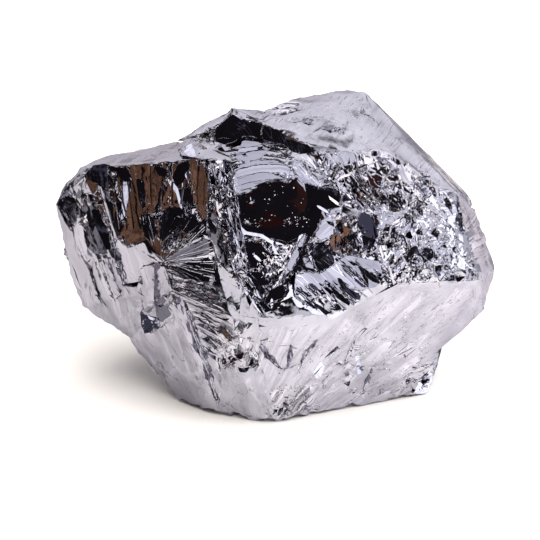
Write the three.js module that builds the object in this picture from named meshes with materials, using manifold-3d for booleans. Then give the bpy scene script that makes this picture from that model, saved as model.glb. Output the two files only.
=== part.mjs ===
// A lump of raw terahertz stone: bright, brittle silicon, broken to the fist-sized piece that it is sold as.
// It is one solid. Coarse grains, each a convex block between cleavage planes, are grown together into the
// lump, and the break across them is then cut in: scoops, ledges, splinters, striations and shattered ground.
// Millimetres, +Z up. +X runs along the longest side and -Y is the front.
import * as THREE from "three";
import { ConvexGeometry } from "three/addons/geometries/ConvexGeometry.js";
import { mergeVertices } from "three/addons/utils/BufferGeometryUtils.js";
import Module from "manifold-3d";

const wasm = await Module();
wasm.setup();

// ---- Driving dimensions ----

const GAP_OVER_SURFACE = 1.8; // how far every cutter stands clear of the face that it opens
const ROOT_UNDER_SURFACE = 0.8; // how deep every grown piece is rooted
const TAPER_END = 0.15; // what is left of a bar at its two thin ends
const STATION_DISTANCE = 400;
const MIDDLE = new THREE.Vector3(0, 0, 20.6);
const WELD = 0.02; // corners closer than this are one
const SEED = 7;

// ---- Grains: the corners of each block ----

// The right-hand mass, with the flat plateau on top and the smooth band down its right edge.
const shoulder = {
  crestLeft: [-1, 12, 45.5],
  crestRear: [5, 18, 46],
  crestTop: [13.5, 21, 46.5],
  crestRight: [16.5, 19, 46.5],
  browLeft: [-1.5, 4, 45.5],
  browMid: [1.5, 1, 45],
  browLow: [5, -2, 44],
  browEnd: [13, -1.5, 42],
  browRight: [21, -1, 39.5],
  bandRearHigh: [23.5, 17, 39],
  bandRearMid: [29.5, 15, 34],
  bandRearLow: [34.5, 12, 30],
  flankHigh: [36.5, 10, 26],
  flankLow: [38, 6, 20],
  rightTip: [38.5, 3, 19.5],
  bandTop: [31, 2, 34],
  bandMid: [33.5, 0.5, 28],
  bandFoot: [36, -3, 20.5],
  bulgeHigh: [16, -7, 38.3],
  bulgeRight: [25, -6, 34.5],
  bulgeLow: [15, -14.5, 31],
  bellyRight: [35, -6, 21],
  bellyMid: [21, -17, 24.5],
  bellyLeft: [10.5, -21, 20.5],
  underRight: [36.5, 0, 13],
  underLow: [33, -1, 10],
  rearTop: [8, 24, 35],
  rearLow: [12, 22, 12],
  rearRight: [30, 16, 14],
  footLeft: [0, -17.4, 2],
  footRight: [26, -6, 6],
};

// The left-hand mass: a columnar wall above, long blades below, and the left tip.
const wing = {
  leftTip: [-36.5, 4, 31],
  tipShoulder: [-34.5, 4, 35],
  roofLeft: [-32, 4, 37.5],
  roofRise: [-29.5, 6, 38.5],
  roofRear: [-22, 10, 39],
  roofRight: [-16, 11, 40],
  wallTopLeft: [-29, -2, 39.5],
  wallTopMid: [-19.5, -6, 41.5],
  wallTopRight: [-10.5, -8, 43],
  wallFootLeft: [-25, -10.5, 29.7],
  wallFootMid: [-20.5, -13.5, 29.8],
  wallFootRight: [-10, -15, 35.5],
  hub: [-17.4, -17, 28.2],
  keel: [-34.5, 2, 24.5],
  keelLow: [-34, 1, 19.5],
  keelTurn: [-32, -1, 14.5],
  keelFoot: [-24, -6, 10.5],
  bellyLeft: [-16, -18.5, 24],
  belly: [-5, -22, 20],
  rearLeft: [-30, 14, 31],
  rearLow: [-27, 14, 16],
  rearMid: [-6, 21, 35],
  rearFoot: [-6, 20, 10],
};

// The foot that the lump stands on, narrower than the belly over it.
const foot = {
  front: [0, -17.5, 0],
  left: [-15, -9, 0],
  frontLeft: [-9, -14.2, 0],
  right: [27, -5, 0],
  frontRight: [13.5, -10.5, 0],
  rightEdge: [28, -6, 4],
  notch: [29.5, -3, 8.5],
  bellyLeft: [-5, -22, 20],
  bellyRight: [10.5, -21, 20.5],
  leftEdge: [-18.5, -9, 6],
  leftHigh: [-22.6, -6.6, 9.8],
  wingFoot: [-24.4, -5.6, 11],
  wingBelly: [-16.2, -18.2, 23.6],
  frontCrease: [-1.3, -21, 11.8],
  rearLeft: [-12, 12, 0],
  rearRight: [18, 14, 0],
  rearRise: [22, 19, 11],
  rearRiseLeft: [-14, 17, 10],
  rearUnderRight: [26, 18, 18],
  rearUnderLeft: [-17, 18, 16],
  rearUnderMid: [2, 22, 17],
};

// The small peak left of the plateau, with a low cliff under its brow.
const peak = {
  top: [-6.5, 8, 46.8],
  topLeft: [-9.3, 10, 44.4],
  ridgeLeft: [-16, 8, 41],
  saddle: [-1, 12, 45.3],
  saddleFront: [-0.5, 4.5, 45.3],
  browLeft: [-9.6, 5, 43.8],
  browTop: [-8, 6.5, 45],
  browRight: [-4, 5, 45.6],
  cliffFootLeft: [-10, 4.4, 41],
  cliffFootMid: [-4, 4.2, 41],
  cliffFootRight: [-0.5, 3.4, 41],
  rear: [-7, 19, 39],
  rearRight: [2, 20, 41],
};

// The bright tooth left of the terrace, where the wall meets the peak.
const tooth = {
  top: [-13.3, 2, 43.2],
  left: [-14.5, -5.5, 42.6],
  right: [-11.8, -8, 42.9],
  terraceEdge: [-6, -8, 42.5],
  rearLeft: [-16, 7, 41],
  rearRight: [-9, 5, 42.6],
  core: [-9, 0, 32],
};

// The middle, lower than the masses on its two sides: a terrace on top, then the slope down to the belly.
const heart = {
  terraceRearLeft: [-11.5, 4.5, 42.6],
  terraceRearMid: [-1.5, 4, 42.4],
  terraceRearRight: [6, -2, 43],
  terraceFrontLeft: [-6, -8, 42.5],
  terraceFrontMid: [-1.5, -7, 42.4],
  terraceFrontRight: [5, -5.5, 42.3],
  shelfLeft: [-6, -13, 39],
  shelfMid: [-1.5, -12, 40.5],
  shelfRight: [4, -11, 40.7],
  lip: [12, -7.5, 38.9],
  slopeLeft: [-5, -17, 35],
  slopeMid: [1, -18.5, 32.5],
  slopeRight: [11.5, -14.8, 31.8],
  bellyUp: [-5, -21.5, 27],
  belly: [-2, -22.5, 20.5],
  bellyLow: [-2.5, -22, 16],
  bellyRight: [10.5, -21, 20.5],
  rear: [0, 12, 40],
  core: [0, 8, 20],
};

// The splintery ridge that stands between the wall and the middle.
const spine = {
  topLeft: [-10.4, -8.5, 43],
  topRight: [-7.6, -9.5, 43],
  upperLeft: [-10.4, -16, 36],
  upperRight: [-6.8, -17, 38],
  lowerLeft: [-8.2, -20.5, 27.5],
  lowerRight: [-4.8, -21.7, 31],
  end: [-1.5, -23, 20.5],
  endLeft: [-5, -22.6, 21],
  root: [-8, -6, 30],
  rootTop: [-8, 0, 41],
};

// The smooth strip under the spine, which leans out over the foot.
const strip = {
  topLeft: [-8.6, -20.6, 29.5],
  topRight: [-5.6, -21.6, 27.4],
  low: [-1.9, -22.9, 20.7],
  foot: [-1.5, -22.7, 16],
  footLeft: [-5, -22.2, 17],
  left: [-7.3, -21.5, 23.3],
  coreHigh: [-5, -14, 27],
  coreLow: [-3, -14, 17],
};

// A knob and a ledge that fill out the back.
const backKnob = {
  top: [-16, 14, 39],
  topRear: [-12, 22, 36],
  left: [-26, 15, 30],
  rear: [-18, 25, 28],
  rearLow: [-14, 24, 16],
  right: [-4, 24, 30],
  core: [-12, 4, 30],
  under: [-18, 14, 10],
};

const backMiddle = {
  top: [-4, 16, 43.5],
  topRight: [6, 20, 44],
  topLeft: [-12, 15, 40.5],
  rearLeft: [-8, 23, 35],
  rearRight: [8, 25, 34],
  rearTip: [1, 26.5, 27],
  low: [0, 24, 16],
  core: [0, 4, 26],
};

const backLedge = {
  top: [14, 22, 40],
  topRight: [24, 19, 34],
  rear: [12, 27, 30],
  rearRight: [22, 24, 26],
  low: [16, 24, 14],
  lowRight: [27, 18, 14],
  left: [4, 24, 26],
  core: [12, 6, 26],
};

// ---- Solids ----

const vector = (p) => new THREE.Vector3(...p);

/** The geometry as a closed solid, its shared vertices merged. */
function solidOf(geometry) {
  geometry.deleteAttribute("normal");
  geometry.deleteAttribute("uv");
  const merged = mergeVertices(geometry, 1e-4);
  return new wasm.Manifold(
    new wasm.Mesh({
      numProp: 3,
      vertProperties: merged.attributes.position.array,
      triVerts: new Uint32Array(merged.index.array),
    }),
  );
}

function geometryOf(solid) {
  const mesh = solid.getMesh();
  const geometry = new THREE.BufferGeometry();
  geometry.setAttribute("position", new THREE.BufferAttribute(new Float32Array(mesh.vertProperties), 3));
  geometry.setIndex(new THREE.BufferAttribute(new Uint32Array(mesh.triVerts), 1));
  return geometry;
}

const hull = (points) => solidOf(new ConvexGeometry(points));
const grain = (corners) => hull(Object.values(corners).map(vector));
const joined = (solids) => wasm.Manifold.union(solids);

/** A repeatable stream of numbers from 0 to 1. */
function randomStream(seed) {
  let state = seed >>> 0;
  return () => {
    state = (state + 0x6d2b79f5) >>> 0;
    let t = state;
    t = Math.imul(t ^ (t >>> 15), t | 1);
    t ^= t + Math.imul(t ^ (t >>> 7), t | 61);
    return ((t ^ (t >>> 14)) >>> 0) / 4294967296;
  };
}

const random = randomStream(SEED);

// ---- Places on the stone ----

const ground = new THREE.Mesh(new THREE.BufferGeometry(), new THREE.MeshBasicMaterial());
const raycaster = new THREE.Raycaster();

/** Takes the stone as it is now as the surface that places are found on. */
function settle(solid) {
  ground.geometry = geometryOf(solid);
  return solid;
}

/**
 * A station round the stone, STATION_DISTANCE from its middle. It turns millimetres across and up, on the
 * sheet that faces the station through the middle, into the spot of the surface seen there.
 */
function stationAt(azimuth, elevation) {
  const turn = THREE.MathUtils.degToRad(azimuth);
  const tilt = THREE.MathUtils.degToRad(elevation);
  const toward = vector([Math.sin(turn) * Math.cos(tilt), -Math.cos(turn) * Math.cos(tilt), Math.sin(tilt)]);
  const right = vector([Math.cos(turn), Math.sin(turn), 0]);
  const up = toward.clone().cross(right);
  const eye = MIDDLE.clone().addScaledVector(toward, STATION_DISTANCE);
  return ([across, rise]) => {
    const aim = MIDDLE.clone().addScaledVector(right, across).addScaledVector(up, rise);
    raycaster.set(eye, aim.sub(eye).normalize());
    const hit = raycaster.intersectObject(ground)[0];
    return hit && { point: hit.point, out: hit.face.normal.clone() };
  };
}

const meanOut = (spots) => spots.reduce((sum, spot) => sum.add(spot.out), vector([0, 0, 0])).normalize();

// ---- Cutters and grown pieces ----

/**
 * A three-sided bar along a line of spots, thin at both ends. Its sharp edge is tip millimetres off the
 * surface (below it for a groove, above it for a rib) and leans to one side. At the surface it is width wide.
 */
function bar(spots, width, tip, lean = 0) {
  const out = meanOut(spots);
  const root = tip < 0 ? GAP_OVER_SURFACE : -ROOT_UNDER_SURFACE;
  const sections = spots.map((spot, i) => {
    const before = spots[Math.max(i - 1, 0)].point;
    const after = spots[Math.min(i + 1, spots.length - 1)].point;
    const side = after.clone().sub(before).cross(out).normalize();
    const swell = TAPER_END + (1 - TAPER_END) * Math.sin((Math.PI * i) / (spots.length - 1));
    const half = (0.5 * width * (Math.abs(tip) * swell + Math.abs(root))) / Math.abs(tip);
    const at = (across, off) => spot.point.clone().addScaledVector(side, across).addScaledVector(out, off);
    return [at(lean * width * swell, tip * swell), at(-half, root), at(half, root)];
  });
  return sections.slice(1).map((section, i) => hull([...sections[i], ...section]));
}

/** Bars that spread from one line of the sheet to another. Every second one leans back, by its own share. */
function fan(station, first, last, count, width, tip, { lean, backLean = 0.6, unevenness = 0.25 } = {}) {
  const bars = [];
  for (let i = 0; i < count; i += 1) {
    const share = (i + unevenness * (random() - 0.5)) / (count - 1);
    const wander = unevenness * width * (random() - 0.5);
    const line = first.map(([x, y], k) => {
      const [endX, endY] = last[k];
      return [x + (endX - x) * share + wander, y + (endY - y) * share];
    });
    const spots = line.map(station).filter(Boolean);
    if (spots.length === line.length) {
      const swing = i % 2 ? lean : -lean * backLean;
      bars.push(...bar(spots, width * (0.75 + 0.5 * random()), tip * (0.7 + 0.6 * random()), swing));
    }
  }
  return bars;
}

/** One bar for each line of a list. */
function strokes(station, lines, width, tip, lean = 0) {
  return lines.flatMap((line) => bar(line.map(station), width, tip, lean));
}

/**
 * A flat facet. Each corner is [across, up, off]: off is its distance from the surface. Negative corners cut
 * a pan with a tilted floor, positive ones grow a slab with a tilted top.
 */
function facet(station, corners) {
  const spots = corners.map(([across, rise, off]) => ({ ...station([across, rise]), off }));
  const out = meanOut(spots);
  const cuts = corners.some(([, , off]) => off < 0);
  const root = cuts ? GAP_OVER_SURFACE : -ROOT_UNDER_SURFACE;
  const flat = spots.map(({ point, off }) => point.clone().addScaledVector(out, off));
  const far = spots.map(({ point }) => point.clone().addScaledVector(out, root));
  return hull([...flat, ...far]);
}

/** A faceted bowl: an uneven ball, flattened along the way out of the surface, its middle lifted off it. */
function bowl(station, [across, rise], [halfWide, halfHigh, depth], lift = 0, fineness = 1) {
  const spot = station([across, rise]);
  const ball = new THREE.IcosahedronGeometry(1, fineness);
  const merged = mergeVertices(ball.deleteAttribute("normal").deleteAttribute("uv"), 1e-4);
  const side = vector([0, 0, 1]).cross(spot.out).normalize();
  const high = spot.out.clone().cross(side);
  const points = [];
  for (let i = 0; i < merged.attributes.position.count; i += 1) {
    const p = new THREE.Vector3().fromBufferAttribute(merged.attributes.position, i);
    const uneven = 1 - 0.1 * random();
    const q = spot.point.clone().addScaledVector(spot.out, lift);
    q.addScaledVector(side, p.x * halfWide * uneven);
    q.addScaledVector(high, p.y * halfHigh * uneven);
    points.push(q.addScaledVector(spot.out, p.z * depth * uneven));
  }
  return hull(points);
}

/** A three-sided point, struck into the surface (negative height) or standing out of it. */
function point(spot, size, height) {
  const root = height < 0 ? GAP_OVER_SURFACE : -ROOT_UNDER_SURFACE;
  const grow = (Math.abs(height) + Math.abs(root)) / Math.abs(height);
  const start = random() * Math.PI * 2;
  const side = vector([0.3, 0.5, 0.8]).cross(spot.out).normalize();
  const high = spot.out.clone().cross(side);
  const place = (angle, radius, off) =>
    spot.point
      .clone()
      .addScaledVector(side, Math.cos(angle) * radius)
      .addScaledVector(high, Math.sin(angle) * radius)
      .addScaledVector(spot.out, off);
  const corners = [place(start + random() * 6, size * 0.7 * random(), height)];
  for (let k = 0; k < 3; k += 1) {
    corners.push(place(start + k * 2.1 + random() * 0.8, size * grow * (0.6 + 0.5 * random()), root));
  }
  return hull(corners);
}

/** Shattered ground: points scattered over a patch of the sheet, given by its outline. */
function shatter(station, outline, count, size, height) {
  const xs = outline.map(([x]) => x);
  const ys = outline.map(([, y]) => y);
  const shape = new THREE.Shape(outline.map(([x, y]) => new THREE.Vector2(x, y)));
  const corners = shape.getPoints();
  const triangles = THREE.ShapeUtils.triangulateShape(corners, []);
  const inside = (x, y) =>
    triangles.some(([a, b, c]) => {
      const t = new THREE.Triangle(...[a, b, c].map((k) => vector([corners[k].x, corners[k].y, 0])));
      return t.containsPoint(vector([x, y, 0]));
    });
  const made = [];
  while (made.length < count) {
    const x = THREE.MathUtils.lerp(Math.min(...xs), Math.max(...xs), random());
    const y = THREE.MathUtils.lerp(Math.min(...ys), Math.max(...ys), random());
    const spot = inside(x, y) && station([x, y]);
    if (spot) made.push(point(spot, size * (0.6 + 0.8 * random()), height * (0.6 + 0.8 * random())));
  }
  return made;
}

// ---- The lump: its grains grown together, then the big breaks ----

const grains = [shoulder, wing, foot, peak, tooth, heart, spine, strip, backKnob, backMiddle, backLedge];
let stone = settle(joined(grains.map(grain)));

const front = stationAt(0, 20);
const back = stationAt(180, 15);
const rightSide = stationAt(90, 10);
const leftSide = stationAt(-90, 10);

const bigBreaks = [
  // the black bowl in the middle of the front, and the two hollows at its lower right
  bowl(front, [1.2, 10.2], [17, 12.5, 9], 7.8, 3),
  bowl(front, [9.2, 2.8], [2, 3, 2.2], 0.2, 0),
  bowl(front, [5.7, 2.2], [2.1, 2.8, 1.8], 0.2, 0),
  // the hollows between the wall and the left fan
  facet(front, [[-21.5, 9.3, -0.3], [-19.1, 9.6, -1.2], [-18.6, 5.9, -1.6], [-20.7, 5.4, -0.4]]),
  facet(front, [
    [-18.3, 10.5, -0.4], [-15.6, 10.2, -1.6], [-15.9, 8.1, -1.8], [-18.6, 5.1, -0.4],
    [-19.1, 7.1, -0.2],
  ]),
  facet(front, [
    [-15.6, 9.8, -1.6], [-12.7, 9.6, -0.4], [-12, 8.1, -0.2], [-13.5, 6.4, -0.5],
    [-16.6, 5.4, -1.4],
  ]),
  facet(front, [
    [-17.8, 5.1, -0.2], [-16.1, 6.1, -0.9], [-13.9, 5.8, -0.3], [-16.1, 3.7, -0.2],
    [-18.1, 3.4, -0.2],
  ]),
  // the dark faces at the left tip
  facet(front, [
    [-36.2, 11.6, -0.2], [-34.8, 13.4, -1], [-32, 10.8, -2.6], [-33.2, 7, -1.4], [-34.6, 7.8, -0.5],
  ]),
  // the flat faces right of the bowl
  facet(front, [[11, 7.6, -0.3], [12, 8.5, -0.4], [13.7, 6.4, -1.6], [12.7, 4.2, -1.4], [11.2, 3.9, -0.3]]),
  facet(front, [
    [15.4, 9.8, -0.2], [17.4, 9.3, -0.9], [18.3, 5.9, -1.9], [16.6, 3.4, -1.2], [14.7, 5.4, -0.2],
  ]),
  bowl(front, [21, 11.3], [1.6, 1.4, 1.2]),
  // the pan under the raised panel of the left foot
  facet(front, [
    [-22, -7.3, -0.3], [-16.6, -5.1, -1.3], [-16.6, -8.1, -0.2], [-20.3, -10.7, -0.2],
    [-21.3, -10.2, -0.9],
  ]),
  // scoops and ledges round the back and the two ends
  bowl(back, [-16, 8], [12, 9, 4], 1.2),
  bowl(back, [6, -3], [9, 11, 3.6], 0.8),
  bowl(back, [24, 1], [7, 8, 2.6], 0.4),
  facet(back, [[-8, 17, -0.3], [8, 16, -0.4], [12, 6, -2.4], [-2, 5, -2.2]]),
  facet(back, [[-27, 0, -0.3], [-17, -1, -0.3], [-12, -11, -2.6], [-20, -10, -2.2]]),
  facet(back, [[14, 12, -0.4], [28, 10, -0.3], [26, 2, -1.8], [16, 3, -2]]),
  bowl(rightSide, [12, -4], [6, 6, 2.4], 0.5),
  bowl(leftSide, [-14, 2], [5, 8, 2.4], 0.5),
];
stone = settle(stone.subtract(joined(bigBreaks)));

// ---- Grown detail: ribs, needles and splinters that stand out ----

const grown = [
  // bright slivers between the columns of the wall
  ...strokes(front, [[[-24.7, 15.6], [-24.4, 11.9], [-25.1, 8.1]]], 1.5, 0.9, 0.3),
  ...strokes(front, [[[-18.3, 15.4], [-18.1, 12.5], [-18.6, 9.3]]], 0.9, 0.7, -0.3),
  ...strokes(front, [[[-16.9, 15.2], [-15.2, 12.5], [-14.2, 10]]], 0.9, 0.8, 0.2),
  ...strokes(front, [[[-14, 18], [-13.6, 13], [-13, 10]]], 0.9, 0.6, 0.2),
  // the two ribs that run down the left of the foot, and the raised panel beside them
  ...strokes(front, [[[-18.1, -0.3], [-15.6, -5.9], [-11.9, -15.2], [-9.1, -22.4]]], 1.1, 0.8, 0.2),
  ...strokes(front, [[[-16.6, -0.8], [-14.1, -6.8], [-10.7, -16.1], [-8.8, -22.4]]], 0.9, 0.7, -0.2),
  facet(front, [
    [-21.7, 0.8, 0.5], [-19, 1.4, 0.9], [-19, -5.1, 0.9], [-20.3, -7.3, 0.3], [-21.8, -6.8, 0.3],
  ]),
  // the smooth panel under the bowl, which leans forward
  facet(front, [
    [4, 0.2, 1.6], [7, 1.6, 2.4], [10.8, 2.6, 2.4], [14.6, 1, 2.3], [19, -0.8, 1.8], [19.8, -3, 0.6],
    [10.4, -8.8, 0.2], [4, -4.4, 0.6],
  ]),
  // the long blades of the left tip
  ...fan(
    front,
    [[-33.6, 14], [-31.5, 8], [-29, 1.5], [-26.4, -5.5]],
    [[-28.8, 13], [-27.3, 8], [-25.6, 2.5], [-24, -2]],
    4, 1.4, 0.7, { lean: 0.3 },
  ),
  // the needles of the star under the bowl
  ...fan(
    front,
    [[-5, 5], [-3.4, 0], [-1.2, -6.8]],
    [[-1, 5], [0.4, 0.6], [-0.6, -6]],
    4, 0.6, 0.8, { lean: 0.2 },
  ),
  ...fan(
    front,
    [[-4.6, 6], [-1, 3.6], [2.4, 1.2]],
    [[-5, -2], [-2.4, -4.6], [-0.6, -7.6]],
    4, 0.6, 0.7, { lean: 0.2 },
  ),
  ...fan(front, [[0, 4], [0.6, -2], [0, -7]], [[4.6, 2], [3, -3], [1, -7]], 4, 0.7, 0.8, { lean: 0.2 }),
  // the spine's splinters
  ...fan(
    front,
    [[-10, 17.5], [-8.4, 12], [-7.4, 7]],
    [[-7.2, 17], [-5.9, 10], [-5.5, 4]],
    5, 0.9, 0.8, { lean: 0.3 },
  ),
  ...fan(
    front,
    [[-7.4, 7.5], [-6.6, 2], [-5.4, -3]],
    [[-5.6, 8], [-5.2, 2], [-4.4, -4]],
    4, 0.8, 0.7, { lean: 0.3 },
  ),
  ...shatter(front, [[-9.6, 17], [-6.8, 15], [-5.4, 6], [-5.4, -3], [-8, 0], [-9.4, 8]], 9, 0.9, 0.9),
  // slivers by the right-hand band
  ...fan(
    front,
    [[28.4, 13.6], [29.6, 12.2], [30.4, 10.6]],
    [[31.6, 12.6], [32, 9.6], [32.6, 6.4]],
    4, 0.8, 0.6, { lean: 0.3 },
  ),
];

stone = settle(stone.add(joined(grown)));

// ---- Cut detail: columns, fans of striations, steps, nicks and shattered ground ----

const struck = [
  // the columns of the wall
  ...fan(
    front,
    [[-30.8, 17], [-29.1, 11.9], [-26.7, 6.4]],
    [[-11.4, 18.6], [-11, 14.4], [-10.8, 10]],
    8, 1.9, -1, { lean: 0.4 },
  ),
  // the two fans at the foot of the wall
  ...fan(
    front,
    [[-18, 1.4], [-15.2, 3], [-11, 5.4]],
    [[-17.4, -0.3], [-14.4, -1.4], [-10.4, -1.9]],
    7, 0.7, -0.6, { lean: 0.3 },
  ),
  ...fan(
    front,
    [[-15.4, -1.9], [-11.9, -2.9], [-8.5, -4.4]],
    [[-11.3, -13.9], [-10, -14.7], [-9, -15.6]],
    11, 0.55, -0.4, { lean: 0.4 },
  ),
  // dark seams between the blades, and the small ledge that ends one of them
  ...strokes(
    front,
    [
      [[-32.2, 3.4], [-30.1, -0.8], [-27.9, -6.4]],
      [[-29.1, 10.2], [-28.1, 5.9], [-27.1, 3.4]],
    ],
    0.9, -0.8, 0.4,
  ),
  ...strokes(
    front,
    [
      [[-26.7, 5.1], [-25.7, 1.4], [-24.7, -2.4]],
      [[-33.7, 12.4], [-32.2, 9.3], [-29.6, 3.4]],
    ],
    0.8, -0.7, -0.4,
  ),
  ...strokes(front, [[[-25.1, -2.5], [-23.4, -2.3], [-22, -1.9]]], 0.8, -1, 0.5),
  // the arcs over the bowl and on the terrace
  ...strokes(
    front,
    [
      [[-6.4, 15.6], [-2.5, 17.2], [1.4, 16.9], [3.2, 15.6]],
      [[-6, 14.2], [-1.5, 15.6], [3, 15.2]],
    ],
    0.7, -0.5, 0.5,
  ),
  ...strokes(
    front,
    [
      [[5.2, 15.2], [8.1, 14.2], [10.2, 14.6]],
      [[5.4, 18.6], [7.1, 16.9], [8.1, 15.6]],
      [[3.6, 17.6], [3.6, 16.4], [3, 15]],
    ],
    0.7, -0.5, 0.4,
  ),
  ...fan(
    front,
    [[-7.6, 20.3], [-1.4, 21.4], [3.4, 20.4]],
    [[-6.4, 16.8], [-1.4, 18], [2.5, 17.4]],
    5, 0.45, -0.3, { lean: 0.4 },
  ),
  // the grooves that run down from the plateau, right of the bowl
  ...fan(
    front,
    [[11.2, 16.9], [13.5, 13.5], [16.1, 10.7]],
    [[13.5, 18.3], [15.7, 14.9], [18.6, 11.5]],
    4, 0.8, -0.9, { lean: 0.4 },
  ),
  // the two sets of claw marks
  ...fan(
    front,
    [[11.6, 1.6], [13.9, -0.8], [15.4, -3]],
    [[15.9, 1.4], [17.8, -0.4], [19, -2]],
    4, 1.3, -0.45, { lean: -0.45, backLean: -1 },
  ),
  ...fan(
    front,
    [[4.6, -3], [7, -5.5], [9.8, -8]],
    [[11.6, -1.8], [13.3, -3.9], [14.9, -5.4]],
    7, 1, -0.4, { lean: -0.45, backLean: -1 },
  ),
  // shattered ground: the right of the front, the star, the end of the belly and the corners of the foot
  ...shatter(
    front,
    [
      [14.6, 20], [22, 20], [24.6, 17.6], [31, 13.4], [33, 7.6], [35.4, -1], [28.8, -1],
      [19.6, -2.4], [18.8, 5], [20, 11], [15.4, 15],
    ],
    48, 1.6, -1,
  ),
  ...shatter(front, [[-4.6, 5], [4.6, 5], [4, -3], [-0.6, -8], [-4.4, -1.6]], 7, 1.2, -0.9),
  ...shatter(front, [[-8.4, -12.6], [-2.6, -12], [-3.4, -17.4], [-7.4, -16]], 10, 0.9, -0.6),
  ...shatter(front, [[0.6, -21.4], [6.4, -20.8], [7, -23.4], [0.8, -24.4]], 8, 0.9, -0.5),
  ...shatter(front, [[23.4, -17.6], [26.8, -17], [26, -20.6], [23, -20.6]], 6, 1.1, -0.5),
  ...shatter(front, [[-12.6, 22.6], [-10, 23.2], [-9, 21], [-12, 20]], 5, 0.9, -0.5),
  ...shatter(front, [[23, 4.2], [26.4, 3.6], [26, -1.6], [22.6, -1]], 6, 1.3, -1.3),
  ...shatter(front, [[8.6, 20], [12, 18], [11, 13], [8.6, 14]], 8, 1, -0.8),
  // flow lines and nicks of the smooth face under the belly
  ...strokes(
    front,
    [
      [[-1.4, -13.2], [0.8, -15.2], [2.4, -17.4]],
      [[3.6, -12.7], [3.9, -14.6], [3, -16.9]],
      [[5.2, -16.1], [5.9, -13.9], [8.1, -11.9]],
    ],
    0.7, -0.35, 0.5,
  ),
  ...strokes(
    front,
    [
      [[9.3, -14.9], [11.3, -13], [12.7, -11.9]],
      [[12.4, -16.6], [13.2, -13.9], [14.4, -12.2]],
      [[15.6, -21], [16.3, -19], [17.4, -16.6]],
    ],
    0.8, -0.4, 0.5,
  ),
  ...strokes(
    front,
    [
      [[9.3, -20.3], [9.8, -19], [10.4, -17.8]],
      [[19.4, -16.4], [20, -14.6], [20.6, -12.7]],
      [[22.4, -12.7], [23, -11], [23.4, -9.4]],
    ],
    0.8, -0.4, -0.5,
  ),
  ...shatter(front, [[5, -16.4], [24, -12.4], [23, -21], [6, -21]], 10, 0.8, -0.4),
  // nicks on the plateau
  ...strokes(
    front,
    [
      [[3.9, 25.4], [5.6, 25.3], [7.3, 24.9]],
      [[8.6, 24.2], [11, 23.8], [13, 24.3]],
      [[0.2, 27.2], [3, 27.5], [5, 28]],
    ],
    0.7, -0.3, 0.5,
  ),
  ...strokes(
    front,
    [
      [[0.8, 26.6], [3.4, 26.8], [5, 27.2]],
      [[15.4, 26.8], [16.2, 26.7], [17, 26.3]],
    ],
    0.6, -0.3, 0.5,
  ),
  // the back: striations in the scoops and shattered ground between them
  ...fan(
    back,
    [[-24, 12], [-18, 13], [-10, 11]],
    [[-22, 1], [-15, 0], [-6, 2]],
    5, 1.3, -0.8, { lean: 0.4 },
  ),
  ...fan(back, [[0, 3], [1, -5], [3, -12]], [[12, 4], [12, -5], [11, -13]], 3, 1.3, -0.9, { lean: 0.4 }),
  ...fan(back, [[18, 8], [19, 1], [18, -6]], [[29, 7], [29, 0], [27, -7]], 4, 1.3, -0.9, { lean: 0.4 }),
  ...shatter(back, [[-34, 4], [-25, 10], [-24, -2], [-30, -8]], 8, 1.8, -1),
  ...shatter(back, [[-8, 16], [10, 15], [14, 6], [0, 4]], 12, 1.8, -1),
  ...shatter(back, [[-12, -6], [-2, -6], [0, -20], [-12, -20]], 9, 1.8, -0.9),
  // the two ends
  ...fan(
    rightSide,
    [[8, 4], [11, 2], [14, 2]],
    [[8, -10], [11, -9], [15, -8]],
    4, 1.2, -0.7, { lean: 0.4 },
  ),
  ...fan(
    leftSide,
    [[-18, 8], [-16, 2], [-15, -6]],
    [[-10, 8], [-10, 2], [-9, -6]],
    3, 1.2, -0.7, { lean: 0.4 },
  ),
];
stone = stone.subtract(joined(struck));

// ---- The rest face ----

const table = new THREE.BoxGeometry(200, 200, 40).translate(0, 0, -20);
stone = stone.subtract(solidOf(table));

/**
 * The largest body of a mesh, cleaned. Corners closer than WELD become one, pairs of triangles that this
 * folds flat together go, and so do the crumbs that a cut leaves loose or hanging by an edge.
 */
function cleaned(geometry) {
  const merged = mergeVertices(geometry, WELD);
  const faces = new Map();
  for (let i = 0; i < merged.index.count; i += 3) {
    const face = [0, 1, 2].map((k) => merged.index.array[i + k]);
    if (new Set(face).size < 3) continue;
    const key = face.toSorted((a, b) => a - b).join();
    if (faces.has(key)) faces.delete(key);
    else faces.set(key, face);
  }
  const triangles = [...faces.values()];
  const edges = new Map();
  triangles.forEach((face, triangle) => {
    face.forEach((corner, k) => {
      const next = face[(k + 1) % 3];
      const edge = [Math.min(corner, next), Math.max(corner, next)].join();
      edges.set(edge, [...(edges.get(edge) ?? []), triangle]);
    });
  });
  const leader = triangles.map((_, i) => i);
  const leaderOf = (i) => {
    while (leader[i] !== i) i = leader[i];
    return i;
  };
  for (const [one, other, ...more] of edges.values()) {
    if (!more.length) leader[leaderOf(one)] = leaderOf(other);
  }
  const bodies = Map.groupBy(triangles.keys(), leaderOf);
  const largest = [...bodies.values()].sort((a, b) => b.length - a.length)[0];
  merged.setIndex(largest.flatMap((triangle) => triangles[triangle]));
  return merged;
}

// ---- The finished lump ----

const body = cleaned(geometryOf(stone));
body.computeBoundingBox();
const middle = body.boundingBox.getCenter(new THREE.Vector3());
const silicon = new THREE.MeshStandardMaterial({ color: 0x9a98a2, roughness: 0.15, metalness: 1 });
const lump = new THREE.Mesh(body, silicon);
lump.name = "terahertz_stone";
lump.position.set(-middle.x, -middle.y, 0);
const group = new THREE.Group();
group.add(lump);
export default group;
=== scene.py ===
import math

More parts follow.
